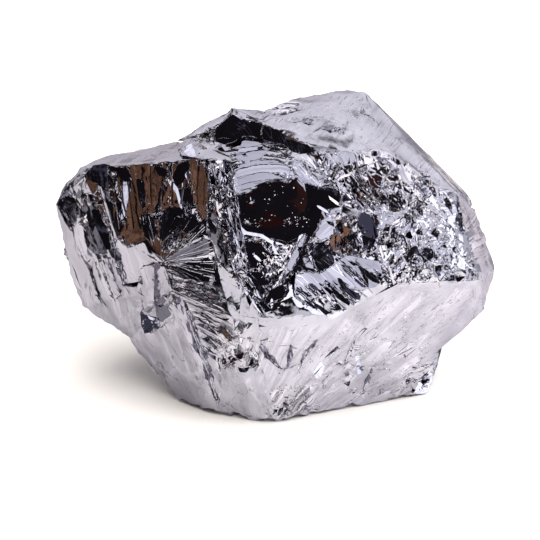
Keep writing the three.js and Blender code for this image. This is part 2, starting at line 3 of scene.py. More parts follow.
import bmesh
import bpy
import numpy as np
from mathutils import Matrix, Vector


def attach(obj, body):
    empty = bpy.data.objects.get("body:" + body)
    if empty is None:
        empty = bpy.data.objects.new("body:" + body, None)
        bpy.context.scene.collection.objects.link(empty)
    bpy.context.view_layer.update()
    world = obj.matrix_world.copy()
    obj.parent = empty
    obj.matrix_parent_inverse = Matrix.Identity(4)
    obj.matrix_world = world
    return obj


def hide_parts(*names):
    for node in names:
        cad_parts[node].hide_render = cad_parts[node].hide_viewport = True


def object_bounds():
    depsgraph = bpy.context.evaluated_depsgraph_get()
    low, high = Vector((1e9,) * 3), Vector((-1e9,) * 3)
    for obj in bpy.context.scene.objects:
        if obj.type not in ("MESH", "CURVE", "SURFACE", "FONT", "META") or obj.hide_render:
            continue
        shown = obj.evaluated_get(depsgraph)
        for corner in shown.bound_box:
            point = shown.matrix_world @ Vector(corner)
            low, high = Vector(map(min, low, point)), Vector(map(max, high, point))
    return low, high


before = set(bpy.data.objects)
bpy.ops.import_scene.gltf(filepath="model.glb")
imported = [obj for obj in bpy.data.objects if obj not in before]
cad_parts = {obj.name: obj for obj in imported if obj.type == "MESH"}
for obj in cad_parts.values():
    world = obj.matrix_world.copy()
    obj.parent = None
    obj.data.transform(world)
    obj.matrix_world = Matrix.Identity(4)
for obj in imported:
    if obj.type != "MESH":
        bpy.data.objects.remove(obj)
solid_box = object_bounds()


# ---------------------------------------------------------------------------
# The table: a plain white sheet of matt board, pressed from paper, that the
# stone lies on. The view is from forty centimetres away, a little above.
# ---------------------------------------------------------------------------
MM = 0.001
VIEW_RISE = 20  # degrees over the table
VIEW_DISTANCE = 400 * MM
STONE_MIDDLE = Vector((-1.0, -1.788, 20.6)) * MM
SENSOR_WIDTH = 36.0  # in millimetres, as the lens
LENS = 157.5
TABLE_HALF = 360 * MM
PAPER_GRAIN = 0.6 * MM
PAPER_GREY = (0.90, 0.885, 0.87, 1)
PAPER_WHITE = (0.95, 0.935, 0.92, 1)


def out_to(turn_by, rise_by):
    """The direction from the stone to a spot in the room, in degrees round from the view and up."""
    turned, raised = math.radians(turn_by), math.radians(rise_by)
    return Vector((math.sin(turned) * math.cos(raised), -math.cos(turned) * math.cos(raised), math.sin(raised)))


view_camera = bpy.data.cameras.new("view")
view_camera.sensor_width = SENSOR_WIDTH
view_camera.lens = LENS
view_camera.clip_start = 10 * MM
camera = bpy.data.objects.new("view", view_camera)
toward_view = out_to(0, VIEW_RISE)
camera.location = STONE_MIDDLE + toward_view * VIEW_DISTANCE
camera.rotation_euler = toward_view.to_track_quat("Z", "Y").to_euler()
bpy.context.scene.collection.objects.link(camera)
bpy.context.scene.camera = camera

table_mesh = bpy.data.meshes.new("table")
corners = [(-TABLE_HALF, -TABLE_HALF, 0), (TABLE_HALF, -TABLE_HALF, 0)]
corners += [(TABLE_HALF, TABLE_HALF, 0), (-TABLE_HALF, TABLE_HALF, 0)]
table_mesh.from_pydata(corners, [], [(0, 1, 2, 3)])
table = bpy.data.objects.new("table", table_mesh)
bpy.context.scene.collection.objects.link(table)


def joined_nodes(tree):
    """Short ways to add a node and a sum to one node tree, with their links."""

    def add(kind, links=(), **settings):
        node = tree.nodes.new(kind)
        for name, value in settings.items():
            setattr(node, name, value)
        for socket, source in dict(links).items():
            if isinstance(source, bpy.types.NodeSocket):
                tree.links.new(source, node.inputs[socket])
            else:
                node.inputs[socket].default_value = source
        return node

    def math_of(operation, *terms):
        return add("ShaderNodeMath", enumerate(terms), operation=operation).outputs[0]

    return add, math_of


board = bpy.data.materials.new("white board")
board.use_nodes = True
board_shader = board.node_tree.nodes["Principled BSDF"]
add, math_of = joined_nodes(board.node_tree)
place = add("ShaderNodeTexCoord").outputs["Object"]
grain = add("ShaderNodeTexNoise", {"Vector": place, "Scale": 1 / PAPER_GRAIN, "Detail": 4.0}).outputs["Fac"]
paper = add("ShaderNodeMix", {0: grain, 6: PAPER_GREY, 7: PAPER_WHITE}, data_type="RGBA").outputs[2]
board.node_tree.links.new(paper, board_shader.inputs["Base Color"])
board_shader.inputs["Roughness"].default_value = 0.9
board_shader.inputs["Specular IOR Level"].default_value = 0.1
table_mesh.materials.append(board)


# ---------------------------------------------------------------------------
# The light: a white studio. A large soft box overhead and pale walls all round
# give the stone its light faces. The dark side of the room, behind the view,
# has one warm wooden wall, and gives the stone its black and brown ones.
# ---------------------------------------------------------------------------
ROOM_GLOW = 1.22  # strength of the room as the stone mirrors it
BOARD_GLOW = 0.60  # and as it lights the matt board
UNLIT_ROOM = (0.012, 0.010, 0.012, 1)
WOOD_GAP = (0.02, 0.012, 0.01, 1)
WOOD_PLANK = (0.32, 0.165, 0.092, 1)
PLANKS_PER_DEGREE = 0.45

# What the stone finds round it: turn from and to, rise from and to, softness of the edge, colour. The angles
# are degrees, with turn 0 towards the view and rise 0 level with the table. Each lies over the ones before.
ROOM = [
    (-400, 400, -95, 3, 1.2, (0.98, 0.96, 0.96)),  # pale low horizon
    (-128, -40, -95, 3, 2.0, (0.45, 0.43, 0.43)),  # the same in shade, to the left
    (100, 400, -95, 12, 6.0, (0.60, 0.59, 0.60)),  # and towards the back
    (-400, 400, 76, 95, 2.5, (1.05, 1.04, 1.06)),  # overhead soft box
    (-86, -40, 34, 66, 3.0, "wood"),  # wooden wall
    (-39, -29, 36, 60, 1.5, (0.33, 0.175, 0.105)),  # wooden door
    (9, 21, 25, 37, 1.5, (0.09, 0.09, 0.125)),  # grey screen
    (-30, 60, 62, 72, 3.0, (0.03, 0.008, 0.007)),  # dark red curtain
    (34, 62, 40, 54, 5.0, (0.045, 0.017, 0.013)),  # brown curtain
    (-59, -45, 14, 28, 3.0, (0.42, 0.40, 0.43)),  # grey cupboard
    (24, 31, 12, 40, 1.5, (1.9, 1.9, 2.0)),  # strip light, right
    (-100, -94, 20, 60, 2.0, (2.2, 2.2, 2.2)),  # strip light, far left
    (64, 86, 10, 62, 2.0, (0.98, 0.97, 1.05)),  # window, in three panes
    (91, 104, 12, 46, 1.5, (1.9, 1.9, 2.0)),
    (109, 132, 8, 60, 2.0, (0.86, 0.85, 0.90)),
    (88, 128, 62, 75, 3.0, (0.80, 0.79, 0.82)),  # skylight
    (-12, -4, 57, 63, 1.5, (0.9, 0.9, 0.95)),  # small overhead window
    (-38, -31, 10, 17, 1.5, (2.4, 2.4, 2.4)),  # small lamps
    (42, 49, 4, 12, 1.5, (2.2, 2.2, 2.3)),
    (-60, -52, 68, 76, 1.5, (2.6, 2.6, 2.6)),
    (-24, -18, 44, 50, 1.5, (2.0, 2.0, 2.0)),
]

bpy.context.scene.view_settings.view_transform = "Standard"
bpy.context.scene.view_settings.look = "None"
studio = bpy.data.worlds.new("studio")
bpy.context.scene.world = studio
studio.use_nodes = True
studio.node_tree.nodes.clear()
add, math_of = joined_nodes(studio.node_tree)


def band(value, low, high, soft):
    """1 between low and high, 0 outside, with soft edges."""
    up, down = (
        add("ShaderNodeMapRange", {0: value, 1: edge - soft, 2: edge + soft}, interpolation_type="SMOOTHSTEP")
        for edge in (low, high)
    )
    return math_of("MULTIPLY", up.outputs[0], math_of("SUBTRACT", 1.0, down.outputs[0]))


def mixed_in(under, amount, over):
    return add("ShaderNodeMix", {0: amount, 6: under, 7: over}, data_type="RGBA").outputs[2]


direction = add("ShaderNodeTexCoord").outputs["Generated"]
axes = add("ShaderNodeSeparateXYZ", {0: direction}).outputs
rise = math_of("DEGREES", math_of("ARCSINE", axes["Z"]))
turn = math_of("DEGREES", math_of("ARCTAN2", axes["X"], math_of("MULTIPLY", axes["Y"], -1.0)))
from_front = math_of("ABSOLUTE", turn)

across_planks = {"W": math_of("MULTIPLY", turn, PLANKS_PER_DEGREE), "Detail": 3.0}
planks = add("ShaderNodeTexNoise", across_planks, noise_dimensions="1D").outputs["Fac"]
wood = mixed_in(WOOD_GAP, add("ShaderNodeMapRange", {0: planks, 1: 0.40, 2: 0.58}).outputs[0], WOOD_PLANK)

# the bright back wall, and the darker gap between it and the ceiling
light_here = mixed_in(UNLIT_ROOM, band(from_front, 128, 400, 6.0), (1.40, 1.375, 1.36, 1))
gap = math_of("MULTIPLY", band(from_front, 132, 400, 3.0), band(rise, 46, 60, 3.0))
light_here = mixed_in(light_here, gap, (0.12, 0.11, 0.12, 1))
for turn_from, turn_to, rise_from, rise_to, soft, colour in ROOM:
    there = math_of("MULTIPLY", band(turn, turn_from, turn_to, soft), band(rise, rise_from, rise_to, soft))
    light_here = mixed_in(light_here, there, wood if colour == "wood" else (*colour, 1))

ray = add("ShaderNodeLightPath").outputs
seen = mixed_in(light_here, ray["Is Camera Ray"], (1, 1, 1, 1))
strength = math_of("SUBTRACT", ROOM_GLOW, math_of("MULTIPLY", ray["Is Diffuse Ray"], ROOM_GLOW - BOARD_GLOW))
background = add("ShaderNodeBackground", {"Color": seen, "Strength": strength})
add("ShaderNodeOutputWorld", {"Surface": background.outputs[0]})


def soft_box(name, turn_by, rise_by, distance, size, power, colour):
    """A square lamp in the room that looks at the stone."""
    lamp = bpy.data.lights.new(name, "AREA")
    lamp.shape = "SQUARE"
    lamp.size = size
    lamp.energy = power
    lamp.color = colour
    at = bpy.data.objects.new(name, lamp)
    away = out_to(turn_by, rise_by)
    at.location = STONE_MIDDLE + away * distance
    at.rotation_euler = away.to_track_quat("Z", "Y").to_euler()
    at.visible_glossy = False
    bpy.context.scene.collection.objects.link(at)


soft_box("table light", 62, 46, distance=4.0, size=3.6, power=54, colour=(1, 0.99, 0.98))
soft_box("table fill", 40, 72, distance=4.0, size=6.0, power=430, colour=(1, 0.955, 0.915))


# ---------------------------------------------------------------------------
# The stone: one lump of raw silicon, the colour of dark mirror, broken out of
# a cast ingot. Nothing on it is polished or joined: every plane, scoop, column
# and splinter is a fresh break, and the shattered ground between them glitters.
# ---------------------------------------------------------------------------

# The size of the triangles, from the smooth breaks down to the blades: on the smooth breaks, on the striated
# ones, along the sharp ridges, along the clean planes, in the bowl, on shattered ground, and on the blades.
QUIET_EDGE, STRIATED_EDGE, RIDGE_EDGE, FACET_EDGE = 1.8 * MM, 0.8 * MM, 0.6 * MM, 0.5 * MM
BOWL_EDGE, SHATTERED_EDGE, BLADE_EDGE = 0.45 * MM, 0.42 * MM, 0.28 * MM
SPLIT_OVER = 1.4  # an edge this many times the wanted size is cut in two
SPLIT_ROUNDS = 12  # at most
WELD = 0.002 * MM  # points nearer than this are one point
FLAT_ANGLE = 0.3  # degrees up to which neighbouring faces are one plane
RIDGE_ANGLE = 18  # degrees between two faces that make a sharp ridge
SMOOTH_ANGLE = 16  # degrees up to which the shading runs over an edge
BOWL_ROUNDS = 30  # rounds that smooth the bowl
BROAD_ROUNDS = 24  # rounds that even out which way the faces look
FACET_MARGIN, BLADE_MARGIN = 0.6, 0.25  # millimetres about their outlines where their triangle size holds
BLADE_LINES = 0.25  # share of the ground's own lines that the blades carry

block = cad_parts["terahertz_stone"]
ground = bmesh.new()
ground.from_mesh(block.data)
bmesh.ops.remove_doubles(ground, verts=ground.verts, dist=WELD)
flat = math.radians(FLAT_ANGLE)
bmesh.ops.dissolve_limit(ground, angle_limit=flat, verts=ground.verts, edges=ground.edges, delimit={"NORMAL"})
bmesh.ops.triangulate(ground, faces=ground.faces, quad_method="BEAUTY", ngon_method="BEAUTY")
ground.verts.index_update()
points = np.array([vert.co for vert in ground.verts])
faces = np.array([[vert.index for vert in face.verts] for face in ground.faces])
ground.free()

up_sheet = (0, math.sin(math.radians(VIEW_RISE)), math.cos(math.radians(VIEW_RISE)))
SHEET_AXES = np.array([(1, 0, 0), up_sheet, toward_view])


def on_sheet(points):
    """Millimetres across and up on the sheet through the stone's middle that faces the front."""
    right, up, toward = SHEET_AXES
    from_middle = points - np.array(STONE_MIDDLE)
    nearer = VIEW_DISTANCE / (VIEW_DISTANCE - from_middle @ toward)
    return np.stack([from_middle @ right, from_middle @ up], axis=1) * nearer[:, None] / MM


def inside_by(points, outline):
    """How far each point lies inside an outline on the sheet, in millimetres: negative outside."""
    outline = np.array(outline, dtype=float)
    near = np.all((points > outline.min(axis=0) - 2) & (points < outline.max(axis=0) + 2), axis=1)
    here = points[near]
    nearest = np.full(len(here), 1e9)
    crossings = np.zeros(len(here), dtype=bool)
    for start, end in zip(outline, np.roll(outline, -1, axis=0)):
        along = end - start
        share = np.clip(((here - start) @ along) / (along @ along), 0, 1)
        nearest = np.minimum(nearest, np.linalg.norm(here - start - share[:, None] * along, axis=1))
        spans = (start[1] > here[:, 1]) != (end[1] > here[:, 1])
        climb = along[1] if abs(along[1]) > 1e-9 else 1e-9
        crossings ^= spans & (here[:, 0] < start[0] + (here[:, 1] - start[1]) * along[0] / climb)
    inside = np.full(len(points), -1e3)
    inside[near] = np.where(crossings, nearest, -nearest)
    return inside


def soft_step(value, low, high):
    share = np.clip((value - low) / (high - low), 0, 1)
    return share * share * (3 - 2 * share)


# Everything on the front is placed by outlines on the sheet, in millimetres.
# The fresh break: it mirrors sharply, while the rest of the lump is satin.
FRESH = [
    (-36.6, 14.2), (-33.5, 14.6), (-30.5, 17.3), (-11.9, 19.5), (-9.7, 22), (-9.5, 24.7), (-5.1, 27.1),
    (-1.4, 25.4), (5.1, 22.3), (10.2, 20.7), (17.3, 20.7), (23.4, 18.3), (29.1, 14.2), (32.8, 9.5),
    (36.2, -0.7), (35.2, -2.4), (22, -2.4), (19.3, -3.7), (10.2, -9.1), (1, -9.1), (-4.1, -4.4), (-6.4, -2),
    (-9.5, -2.4), (-12.2, -1), (-18.6, 0.7), (-25.7, 6.4), (-28.8, 10.8), (-33.5, 11.2), (-34.5, 8.1),
    (-36.6, 11.9),
]
BOWL = [
    (-5.8, 11.5), (-1.4, 14.6), (4.6, 15.6), (9.6, 13.6), (9.6, 9.8), (6.1, 5.8), (1, 5.2), (-4.6, 7.4),
]

# Areas that more than one of the lists below works on.
UPPER_GLITTER = [
    (13.9, 20), (19.3, 20.3), (25.4, 16.4), (29, 13.5), (29.8, 9.1), (23.7, 10.8), (19.3, 9.8), (16.3, 12.5),
]
LOWER_GLITTER = [(19.3, 6.4), (25.4, 2.4), (28.8, -2), (21.3, -2.4), (18.3, 1.4)]
BESIDE_BOWL = [(5.1, 4.4), (10.5, 9.5), (13.9, 9.8), (18.3, 3.4), (13.9, 2.2), (11.2, 3.2), (5.2, 1.6)]
NEEDLE_FAN = [(-21, 10.2), (-17.3, 10.5), (-11.9, 10.8), (-10.8, 6.4), (-17.6, 1.4), (-20.3, 4.1)]

# Shattered ground: outline, how high the coarse chips stand (0 to 1), how strongly the fine ones glitter.
SHATTERED = [
    (UPPER_GLITTER, 0.7, 0.5),
    ([(19.3, 12.5), (29.8, 9.1), (34.5, 1.4), (35.6, -2), (25.4, 1.4), (19.3, 6.4)], 0.15, 0.6),
    (LOWER_GLITTER, 0.7, 0.6),
    ([(-5.1, 5.8), (-1.4, 5.4), (5.1, 4.4), (4.4, 0.3), (3.4, -3.4), (1.4, -8.1), (-1.4, -5.1), (-4.1, -0.3)],
      0.15, 0.08),
    (BESIDE_BOWL, 0.5, 0.3),
    ([(7.1, 20.3), (12.5, 20), (17.3, 11.9), (18.3, 9.5), (14.6, 9.5), (10.5, 14.2)], 0.5, 0.35),
    ([(-10.8, 19.3), (-6.8, 18.6), (-5.1, 11.9), (-4.7, 5.8), (-3, -0.3), (1.4, -8.1), (-1.4, -8.1),
      (-5.4, -1.4), (-8.1, 4.4), (-9.8, 11.9)], 0.2, 0.1),
    (NEEDLE_FAN, 0.1, 0.2),
    ([(-9.1, -9.5), (-3.2, -9), (-2.2, -16.3), (-9, -17)], 1, 0.7),
    ([(0.3, -20.7), (7.1, -19.3), (7.8, -23.7), (0, -25.4)], 0.8, 0.5),
    ([(22.7, -16.3), (27.1, -15.6), (27.1, -21.3), (22, -21.3)], 0.6, 0.5),
    ([(-13, 23.4), (-9.6, 24), (-8.6, 21), (-12, 19.6)], 0.5, 0.6),
    ([(-22, -19), (-17, -22.4), (-8, -24), (1, -24.6), (12, -23), (27, -21), (27, -24), (0, -28), (-22, -24)],
      0.6, 0.5),
    ([(-30, 18.4), (-22, 19.4), (-12, 22.6), (-11, 20.6), (-20, 17.6), (-30, 16.6)], 0.15, 0.2),
    ([(-31, 17.4), (-26, 17.6), (-25, 12), (-29.6, 11)], 0.3, 0.3),
]

# Striations: outline, how they run ("rays" from a hub, "rings" round it or "lines" along a direction), the
# hub or the direction, their spacing (degrees for rays, millimetres for the others), how long each one is in
# millimetres, how steep the steps between them are (below 0 where they face the other way). Where two
# outlines overlap, the later one counts.
STRIATED = [
    ([(-35, 10.5), (-29.5, 11.9), (-25.4, 6.4), (-21, 1.4), (-20.3, -2.7), (-24, -10.2), (-31.5, -6.8),
      (-34, 0)], "lines", (0.33, -0.94), 1.8, 14, 0.4),
    ([(-31.2, 16.6), (-10.5, 19.1), (-10, 8.8), (-12.5, 7.4), (-18.6, 6.8), (-25.7, 6.8), (-28.8, 10.8)],
      "rays", (-16, -50), 1.5, 40, 0.6),
    (NEEDLE_FAN, "rays", (-18.6, 0), 4, 12, -0.5),
    ([(-19, 1.2), (-10.8, 5.8), (-9.3, 3.4), (-9.5, -2.5), (-14.2, -1.5)], "rays", (-18.1, 1.4), 6, 24, -0.9),
    ([(-16.9, -1), (-9.8, -2.7), (-8.1, -5.1), (-5.6, -11.9), (-8.8, -13.9), (-10.7, -13.9), (-13.5, -6.8)],
      "rays", (-34.5, 3.6), 1.1, 9, 0.9),
    ([(-7.1, 18.4), (-7.4, 20.7), (-3.4, 22.3), (5.1, 20.7), (5.4, 19), (2.5, 20), (-3.4, 19.3)], "rings",
      (-2, 6), 0.9, 6, 0.5),
    ([(-6.6, 11.9), (-6.9, 15.6), (-4.6, 18.1), (0, 19.3), (4.4, 18.3), (5.8, 15.9), (2.5, 15.2), (-1.4, 14.6),
      (-4.2, 12.2)], "rings", (0, 1.5), 1.3, 18, 0.45),
    ([(4.1, 19), (7.1, 19.3), (8.8, 15.6), (11.2, 13.5), (8.1, 13.9), (5.8, 15.9)], "lines", (0.72, -0.69), 0.6,
      6, 0.9),
    ([(-9.5, 24.4), (-5.1, 27.1), (-1.4, 25.1), (5.1, 22), (7.4, 20), (3.4, 20), (-3.4, 22.7), (-8.1, 21)],
      "rings", (-14, 16), 0.5, 3, 0.12),
    (UPPER_GLITTER, "lines", (0.6, -0.8), 1.3, 4, 0.3),
    ([(7.1, 20.3), (11.5, 20), (17.3, 11.9), (18.3, 9.5), (14.6, 9.5), (10.5, 14.2)], "lines", (0.66, -0.75),
      1.2, 5, 0.5),
    ([(11.5, 19.3), (13.9, 18.6), (18.3, 10.8), (16.3, 10.2), (12.5, 15.9)], "lines", (0.53, -0.85), 0.9, 14,
      0.9),
    (BESIDE_BOWL, "lines", (0.75, 0.66), 0.9, 3.5, 0.4),
    ([(4.4, 0.7), (10.8, 3), (19.3, -0.7), (19.3, -3), (10.5, -8.5), (3.7, -3.4)], "lines", (0.72, -0.69), 1.4,
      9, 0.6),
    ([(28.4, 14.2), (31, 13.5), (32.2, 8.8), (29.8, 9.1)], "lines", (1, 0.25), 0.8, 4, 1.3),
    ([(-0.3, 28.1), (5.1, 28.8), (5.1, 26.7), (0.3, 26.4)], "lines", (1, 0.06), 0.7, 4, -0.8),
    ([(32.5, 10.8), (35.6, 9.5), (37.2, 1.4), (34.5, 1.4)], "rings", (30, 12), 1.2, 8, 0.7),
    ([(-10.8, 19.3), (-6.8, 18.6), (-5.1, 11.9), (-4.7, 5.8), (-3, -0.3), (-5.4, -1.4), (-8.1, 4.4),
      (-9.8, 11.9)], "lines", (0.25, -0.97), 0.95, 9, 0.9),
    ([(-4.7, 1.8), (-3, -0.3), (1.4, -8.1), (-1.4, -8.1), (-5.4, -1.4)], "lines", (0.6, -0.8), 0.9, 8, 0.9),
    ([(-6, -12), (1, -9.5), (10.5, -9), (19, -4), (34, -3), (31, -13), (27, -22), (12, -23), (1, -25)], "rays",
      (-9, -36), 1.3, 6, 0.35),
    ([(-8.8, -14.5), (-5.6, -12.5), (0, -25), (-8, -24.5), (-12, -22)], "lines", (0.42, -0.91), 1.3, 4, 0.35),
    ([(-24, -10.5), (-20.5, -3), (-16, -6), (-11, -16), (-12, -22), (-17, -22), (-21.5, -16)], "lines",
      (0.5, -0.87), 2.4, 9, 0.25),
]

# Small clean planes that stand out of the rest: the outline, where in the room each one mirrors to the
# front (turn and rise in degrees), and how much of the ground's own lines it carries. Slivers lie over them.
WOOD, DARK, SCREEN, WINDOW = (-34, 48), (2, 24), (15, 31), (75, 38)
STRIP, TABLE, SHADE, PANE = (27.5, 26), (-20, -20), (-52, 21), (97.5, 29)
FACETS = [
    # wall, brown columns
    ([(-23.7, 17.8), (-20.3, 17.9), (-19.8, 15.9), (-20.3, 12.5), (-21, 9.5), (-22.3, 8.8), (-24.4, 9.1),
      (-24.2, 10.8), (-23.5, 13.5)], WOOD, 0.55),
    ([(-20.1, 17.8), (-19.3, 16.9), (-18.3, 15.7), (-18.6, 12.9), (-19.6, 9.8), (-20.7, 9.5), (-20, 13.5)],
      WOOD, 0.55),
    ([(-17.3, 14.2), (-15.9, 13.9), (-15.2, 12.2), (-15.2, 10.3), (-18.3, 9.7), (-18.6, 8.8), (-18.1, 12.2)],
      WOOD, 0.55),
    ([(-13.2, 17.9), (-11.2, 17.6), (-10.7, 15.2), (-10.5, 12.5), (-10.7, 9.1), (-11.5, 9.1), (-12.5, 10.8),
      (-13.4, 13.5), (-13.5, 15.9)], WOOD, 0.55),
    ([(-24.4, 8.8), (-22.3, 9.1), (-21.3, 6.8), (-21, 5.1), (-22.3, 4.7), (-24.7, 4.4), (-25.4, 6.1),
      (-24.7, 7.4)], WOOD, 0.7),
    # dark ones between them
    ([(-27.4, 17.8), (-26.1, 17.4), (-24.5, 17.4), (-23.7, 16.4), (-23.9, 14.9), (-25.2, 15.2), (-26.1, 16.6),
      (-27.1, 16.9)], DARK, 0.2),
    ([(-19.8, 17.8), (-17.9, 17.3), (-17.3, 16.6), (-17.8, 15.6), (-18.6, 15.7), (-19.5, 17.1)], DARK, 0.3),
    ([(-18.1, 14.9), (-18.5, 12.5), (-19.1, 9.5), (-19.6, 8.1), (-19.3, 10.8), (-18.6, 13.9)], DARK, 0.2),
    ([(-15.6, 17.9), (-13.9, 18.6), (-13.5, 17.6), (-14.6, 14.9), (-15.6, 14.2), (-16.6, 15.6), (-16.1, 16.9)],
      DARK, 0.3),
    ([(-14.2, 13.9), (-13.5, 14.2), (-13.2, 10.2), (-13.9, 10.2)], DARK, 0.2),
    ([(-30, 17.8), (-27.6, 17.9), (-27.4, 15.6), (-27.1, 13.9), (-28.8, 14.1), (-30.8, 15.4), (-31.2, 16.4)],
      SCREEN, 0.3),
    # the dark needle fan
    ([(-17.8, 10.3), (-16.3, 10.7), (-13.9, 10.2), (-12.5, 8.8), (-11.5, 7.8), (-12.2, 6.4), (-13.9, 6.1),
      (-15.6, 7.1), (-16.9, 6.1), (-18.3, 4.7), (-18.8, 6.4), (-18.3, 8.8)], DARK, 0.25),
    ([(-22, 9.5), (-20.7, 9.7), (-19.6, 8.5), (-19.3, 6.1), (-20, 4.7), (-21, 5.4), (-21.7, 7.4)], DARK, 0.4),
    # light ones under them
    ([(-24.7, 3.4), (-21.3, 4.7), (-20.7, 3.4), (-21, 1.7), (-22.3, 0), (-24.4, 0.3)], TABLE, 0.5),
    ([(-31.8, 10.7), (-30.3, 11), (-29.1, 8.8), (-28.4, 5.4), (-27.4, 2.7), (-30, 2.7), (-31.3, 4.7),
      (-31.7, 7.4)], SHADE, 0.5),
    ([(-17.6, 1.7), (-14.9, 3.4), (-10.5, 5.4), (-10.2, 3.4), (-10.5, 2), (-13.5, 1.5), (-16.9, 0.7)], SHADE,
      0.3),
    ([(-16.9, 0.3), (-13.5, 1.4), (-10.2, 2), (-9.7, 0), (-10.5, -2.4), (-13.5, -1.4), (-16.3, -0.3)], DARK,
      0.4),
    # the dark cliff over the bowl
    ([(-6.3, 26.4), (-4.7, 25.4), (-3.7, 25.1), (-1.4, 24.7), (0.8, 23.9), (2.4, 23), (3.2, 22.3), (5.2, 21.5),
      (6.4, 21.3), (7.4, 20), (5.2, 19.6), (3.7, 20), (2.4, 21.3), (0.3, 21.7), (-1.4, 22.2), (-3, 22.7),
      (-4.7, 22.7), (-6.1, 21.7), (-7.8, 21.2), (-9.3, 21.8), (-9.3, 23.9), (-7.8, 25.2)], DARK, 0.4),
    # beside the bowl
    ([(4.2, 19), (6.1, 17.6), (8.1, 15.1), (9.5, 14.6), (7.6, 14.2), (5.8, 15.1), (4.7, 16.1), (3.7, 17.6)],
      WINDOW, 0.3),
    ([(10.7, 19.8), (12.7, 20.1), (14.1, 19.8), (14.4, 18.8), (13.7, 17.6), (12, 17.6), (10.3, 18.5)], WINDOW,
      0.15),
    ([(9.3, 14.1), (11.3, 13.7), (13, 13), (14.7, 12.4), (14.4, 11.7), (12.7, 11.7), (12.4, 10.7), (10, 10.3),
      (9.3, 11.3)], DARK, 0.4),
    ([(11.3, 16.8), (12.2, 17.1), (15.7, 11.7), (16.1, 10.3), (14.4, 12.4), (12.7, 14.7)], WINDOW, 0.2),
    ([(15.9, 10), (16.6, 9.8), (17.4, 8.6), (18.3, 6.9), (18.1, 5.6), (16.9, 4.6), (15.4, 6.6), (14.9, 8),
      (15.4, 9.3)], SCREEN, 0.25),
    ([(11, 8.3), (12, 8.6), (12.5, 7.6), (13.7, 6.9), (13, 5.6), (12.4, 3.6), (11, 3.2), (10, 4.6),
      (10.7, 5.9)], WOOD, 0.12),
    ([(8.6, 8.3), (10, 9.1), (11.2, 8.6), (11, 6.3), (10, 5.2), (8.6, 4.9), (7.6, 5.8)], WINDOW, 0.2),
    # under the bowl
    ([(-5.4, 5.1), (-1.4, 4.6), (0, 2.5), (-1.4, 0.3), (-3.4, 0.3), (-4.6, 1.4)], DARK, 0.35),
    ([(-4.1, -0.3), (-1.4, -0.3), (-0.3, -2.4), (-1.4, -4.4), (-2.5, -3.4), (-3.4, -2)], DARK, 0.35),
    ([(-1.4, -5.1), (0, -3.4), (2.5, -2.2), (2.4, -5.1), (1, -6.8), (-1.4, -7.4), (-2.4, -5.9)], DARK, 0.3),
    ([(3.7, 0), (4.9, 1.7), (5.2, 2.9), (7.1, 3.4), (7.6, 4.6), (9.1, 4.9), (9.8, 3.6), (10.8, 2.2), (11, 1.2),
      (9.8, 0), (8.1, -0.5), (5.8, -0.2), (4.2, -0.5)], DARK, 0.4),
    # the terrace
    ([(3.9, -0.8), (5.9, -0.3), (8.5, -0.5), (10.5, 0.7), (12.7, 2.4), (13.9, 2.4), (18.6, 1.4), (19.3, -1.7),
      (17.8, -2.9), (15.6, -3.4), (11.9, -3.9), (8.1, -4.4), (5.1, -5.1), (3.4, -3.7), (3, -2)], WINDOW, 0.2),
    # in the glitter
    ([(22.9, 2.9), (23.9, 3.9), (24.9, 4.2), (25.6, 2.9), (26.2, 3.9), (27.6, 3.6), (27.8, 2.2), (26.2, 1.2),
      (25.9, -0.2), (24.2, -1.5), (23.2, -1.5), (23.9, 0.2), (24.2, 1.2), (23.2, 1.5)], DARK, 0.5),
    ([(16.6, 17.1), (17.8, 17.4), (19.1, 16.1), (18.8, 13.4), (17.8, 14.1), (16.6, 15.1)], SCREEN, 0.6),
    ([(19.5, 12.4), (20.8, 13), (22.3, 12), (22.2, 10.5), (21.2, 10.7), (19.8, 11.2)], DARK, 0.4),
    ([(28.3, 14.1), (29.6, 13.4), (31, 11.7), (31.7, 10.3), (31.3, 8), (30.3, 8), (29.6, 10.3), (28.6, 12)],
      PANE, 0.3),
    # on the left flank
    ([(-19.5, -6.3), (-18.3, -4.2), (-16.6, -7.6), (-18.3, -8.8), (-19.3, -8)], SHADE, 0.1),
    # the dark ends of the bowl
    ([(-6.4, 12.2), (-4.2, 13.2), (-3.4, 9.3), (-5.1, 8.1), (-6.1, 9.5)], DARK, 0.3),
    ([(5.8, 14.7), (10.2, 13.7), (12.7, 13), (12.7, 10.8), (9.3, 10.2), (6.4, 9.3), (5.4, 8.1), (6.3, 11.9)],
      DARK, 0.6),
    ([(-5.1, 8.1), (-1.4, 7.1), (3.7, 7.8), (5.1, 9.8), (6.4, 10.2), (6.6, 9), (5.2, 5.8), (3.2, 4.7),
      (-0.8, 5.6), (-4.4, 6.4)], DARK, 0.4),
    # the smooth ledge over the bowl
    ([(-6.3, 15.6), (-5.1, 17.8), (-2.5, 18.6), (0.8, 18.6), (3.4, 17.3), (4.4, 15.6), (2.5, 15.7),
      (-1.4, 14.9), (-3.7, 13.5), (-6.1, 12.5)], WINDOW, 0.35),
    ([(-5.9, 19), (-4.6, 22), (-2, 21.7), (-0.3, 20.3), (-1.4, 19), (-4.2, 18.3)], WINDOW, 0.3),
    # the fringe beside the bowl
    ([(5.6, 9.5), (7.1, 9.8), (8.8, 10.2), (8.5, 8.1), (7.4, 6.1), (6.1, 4.7), (5.1, 5.4)], DARK, 0.5),
]
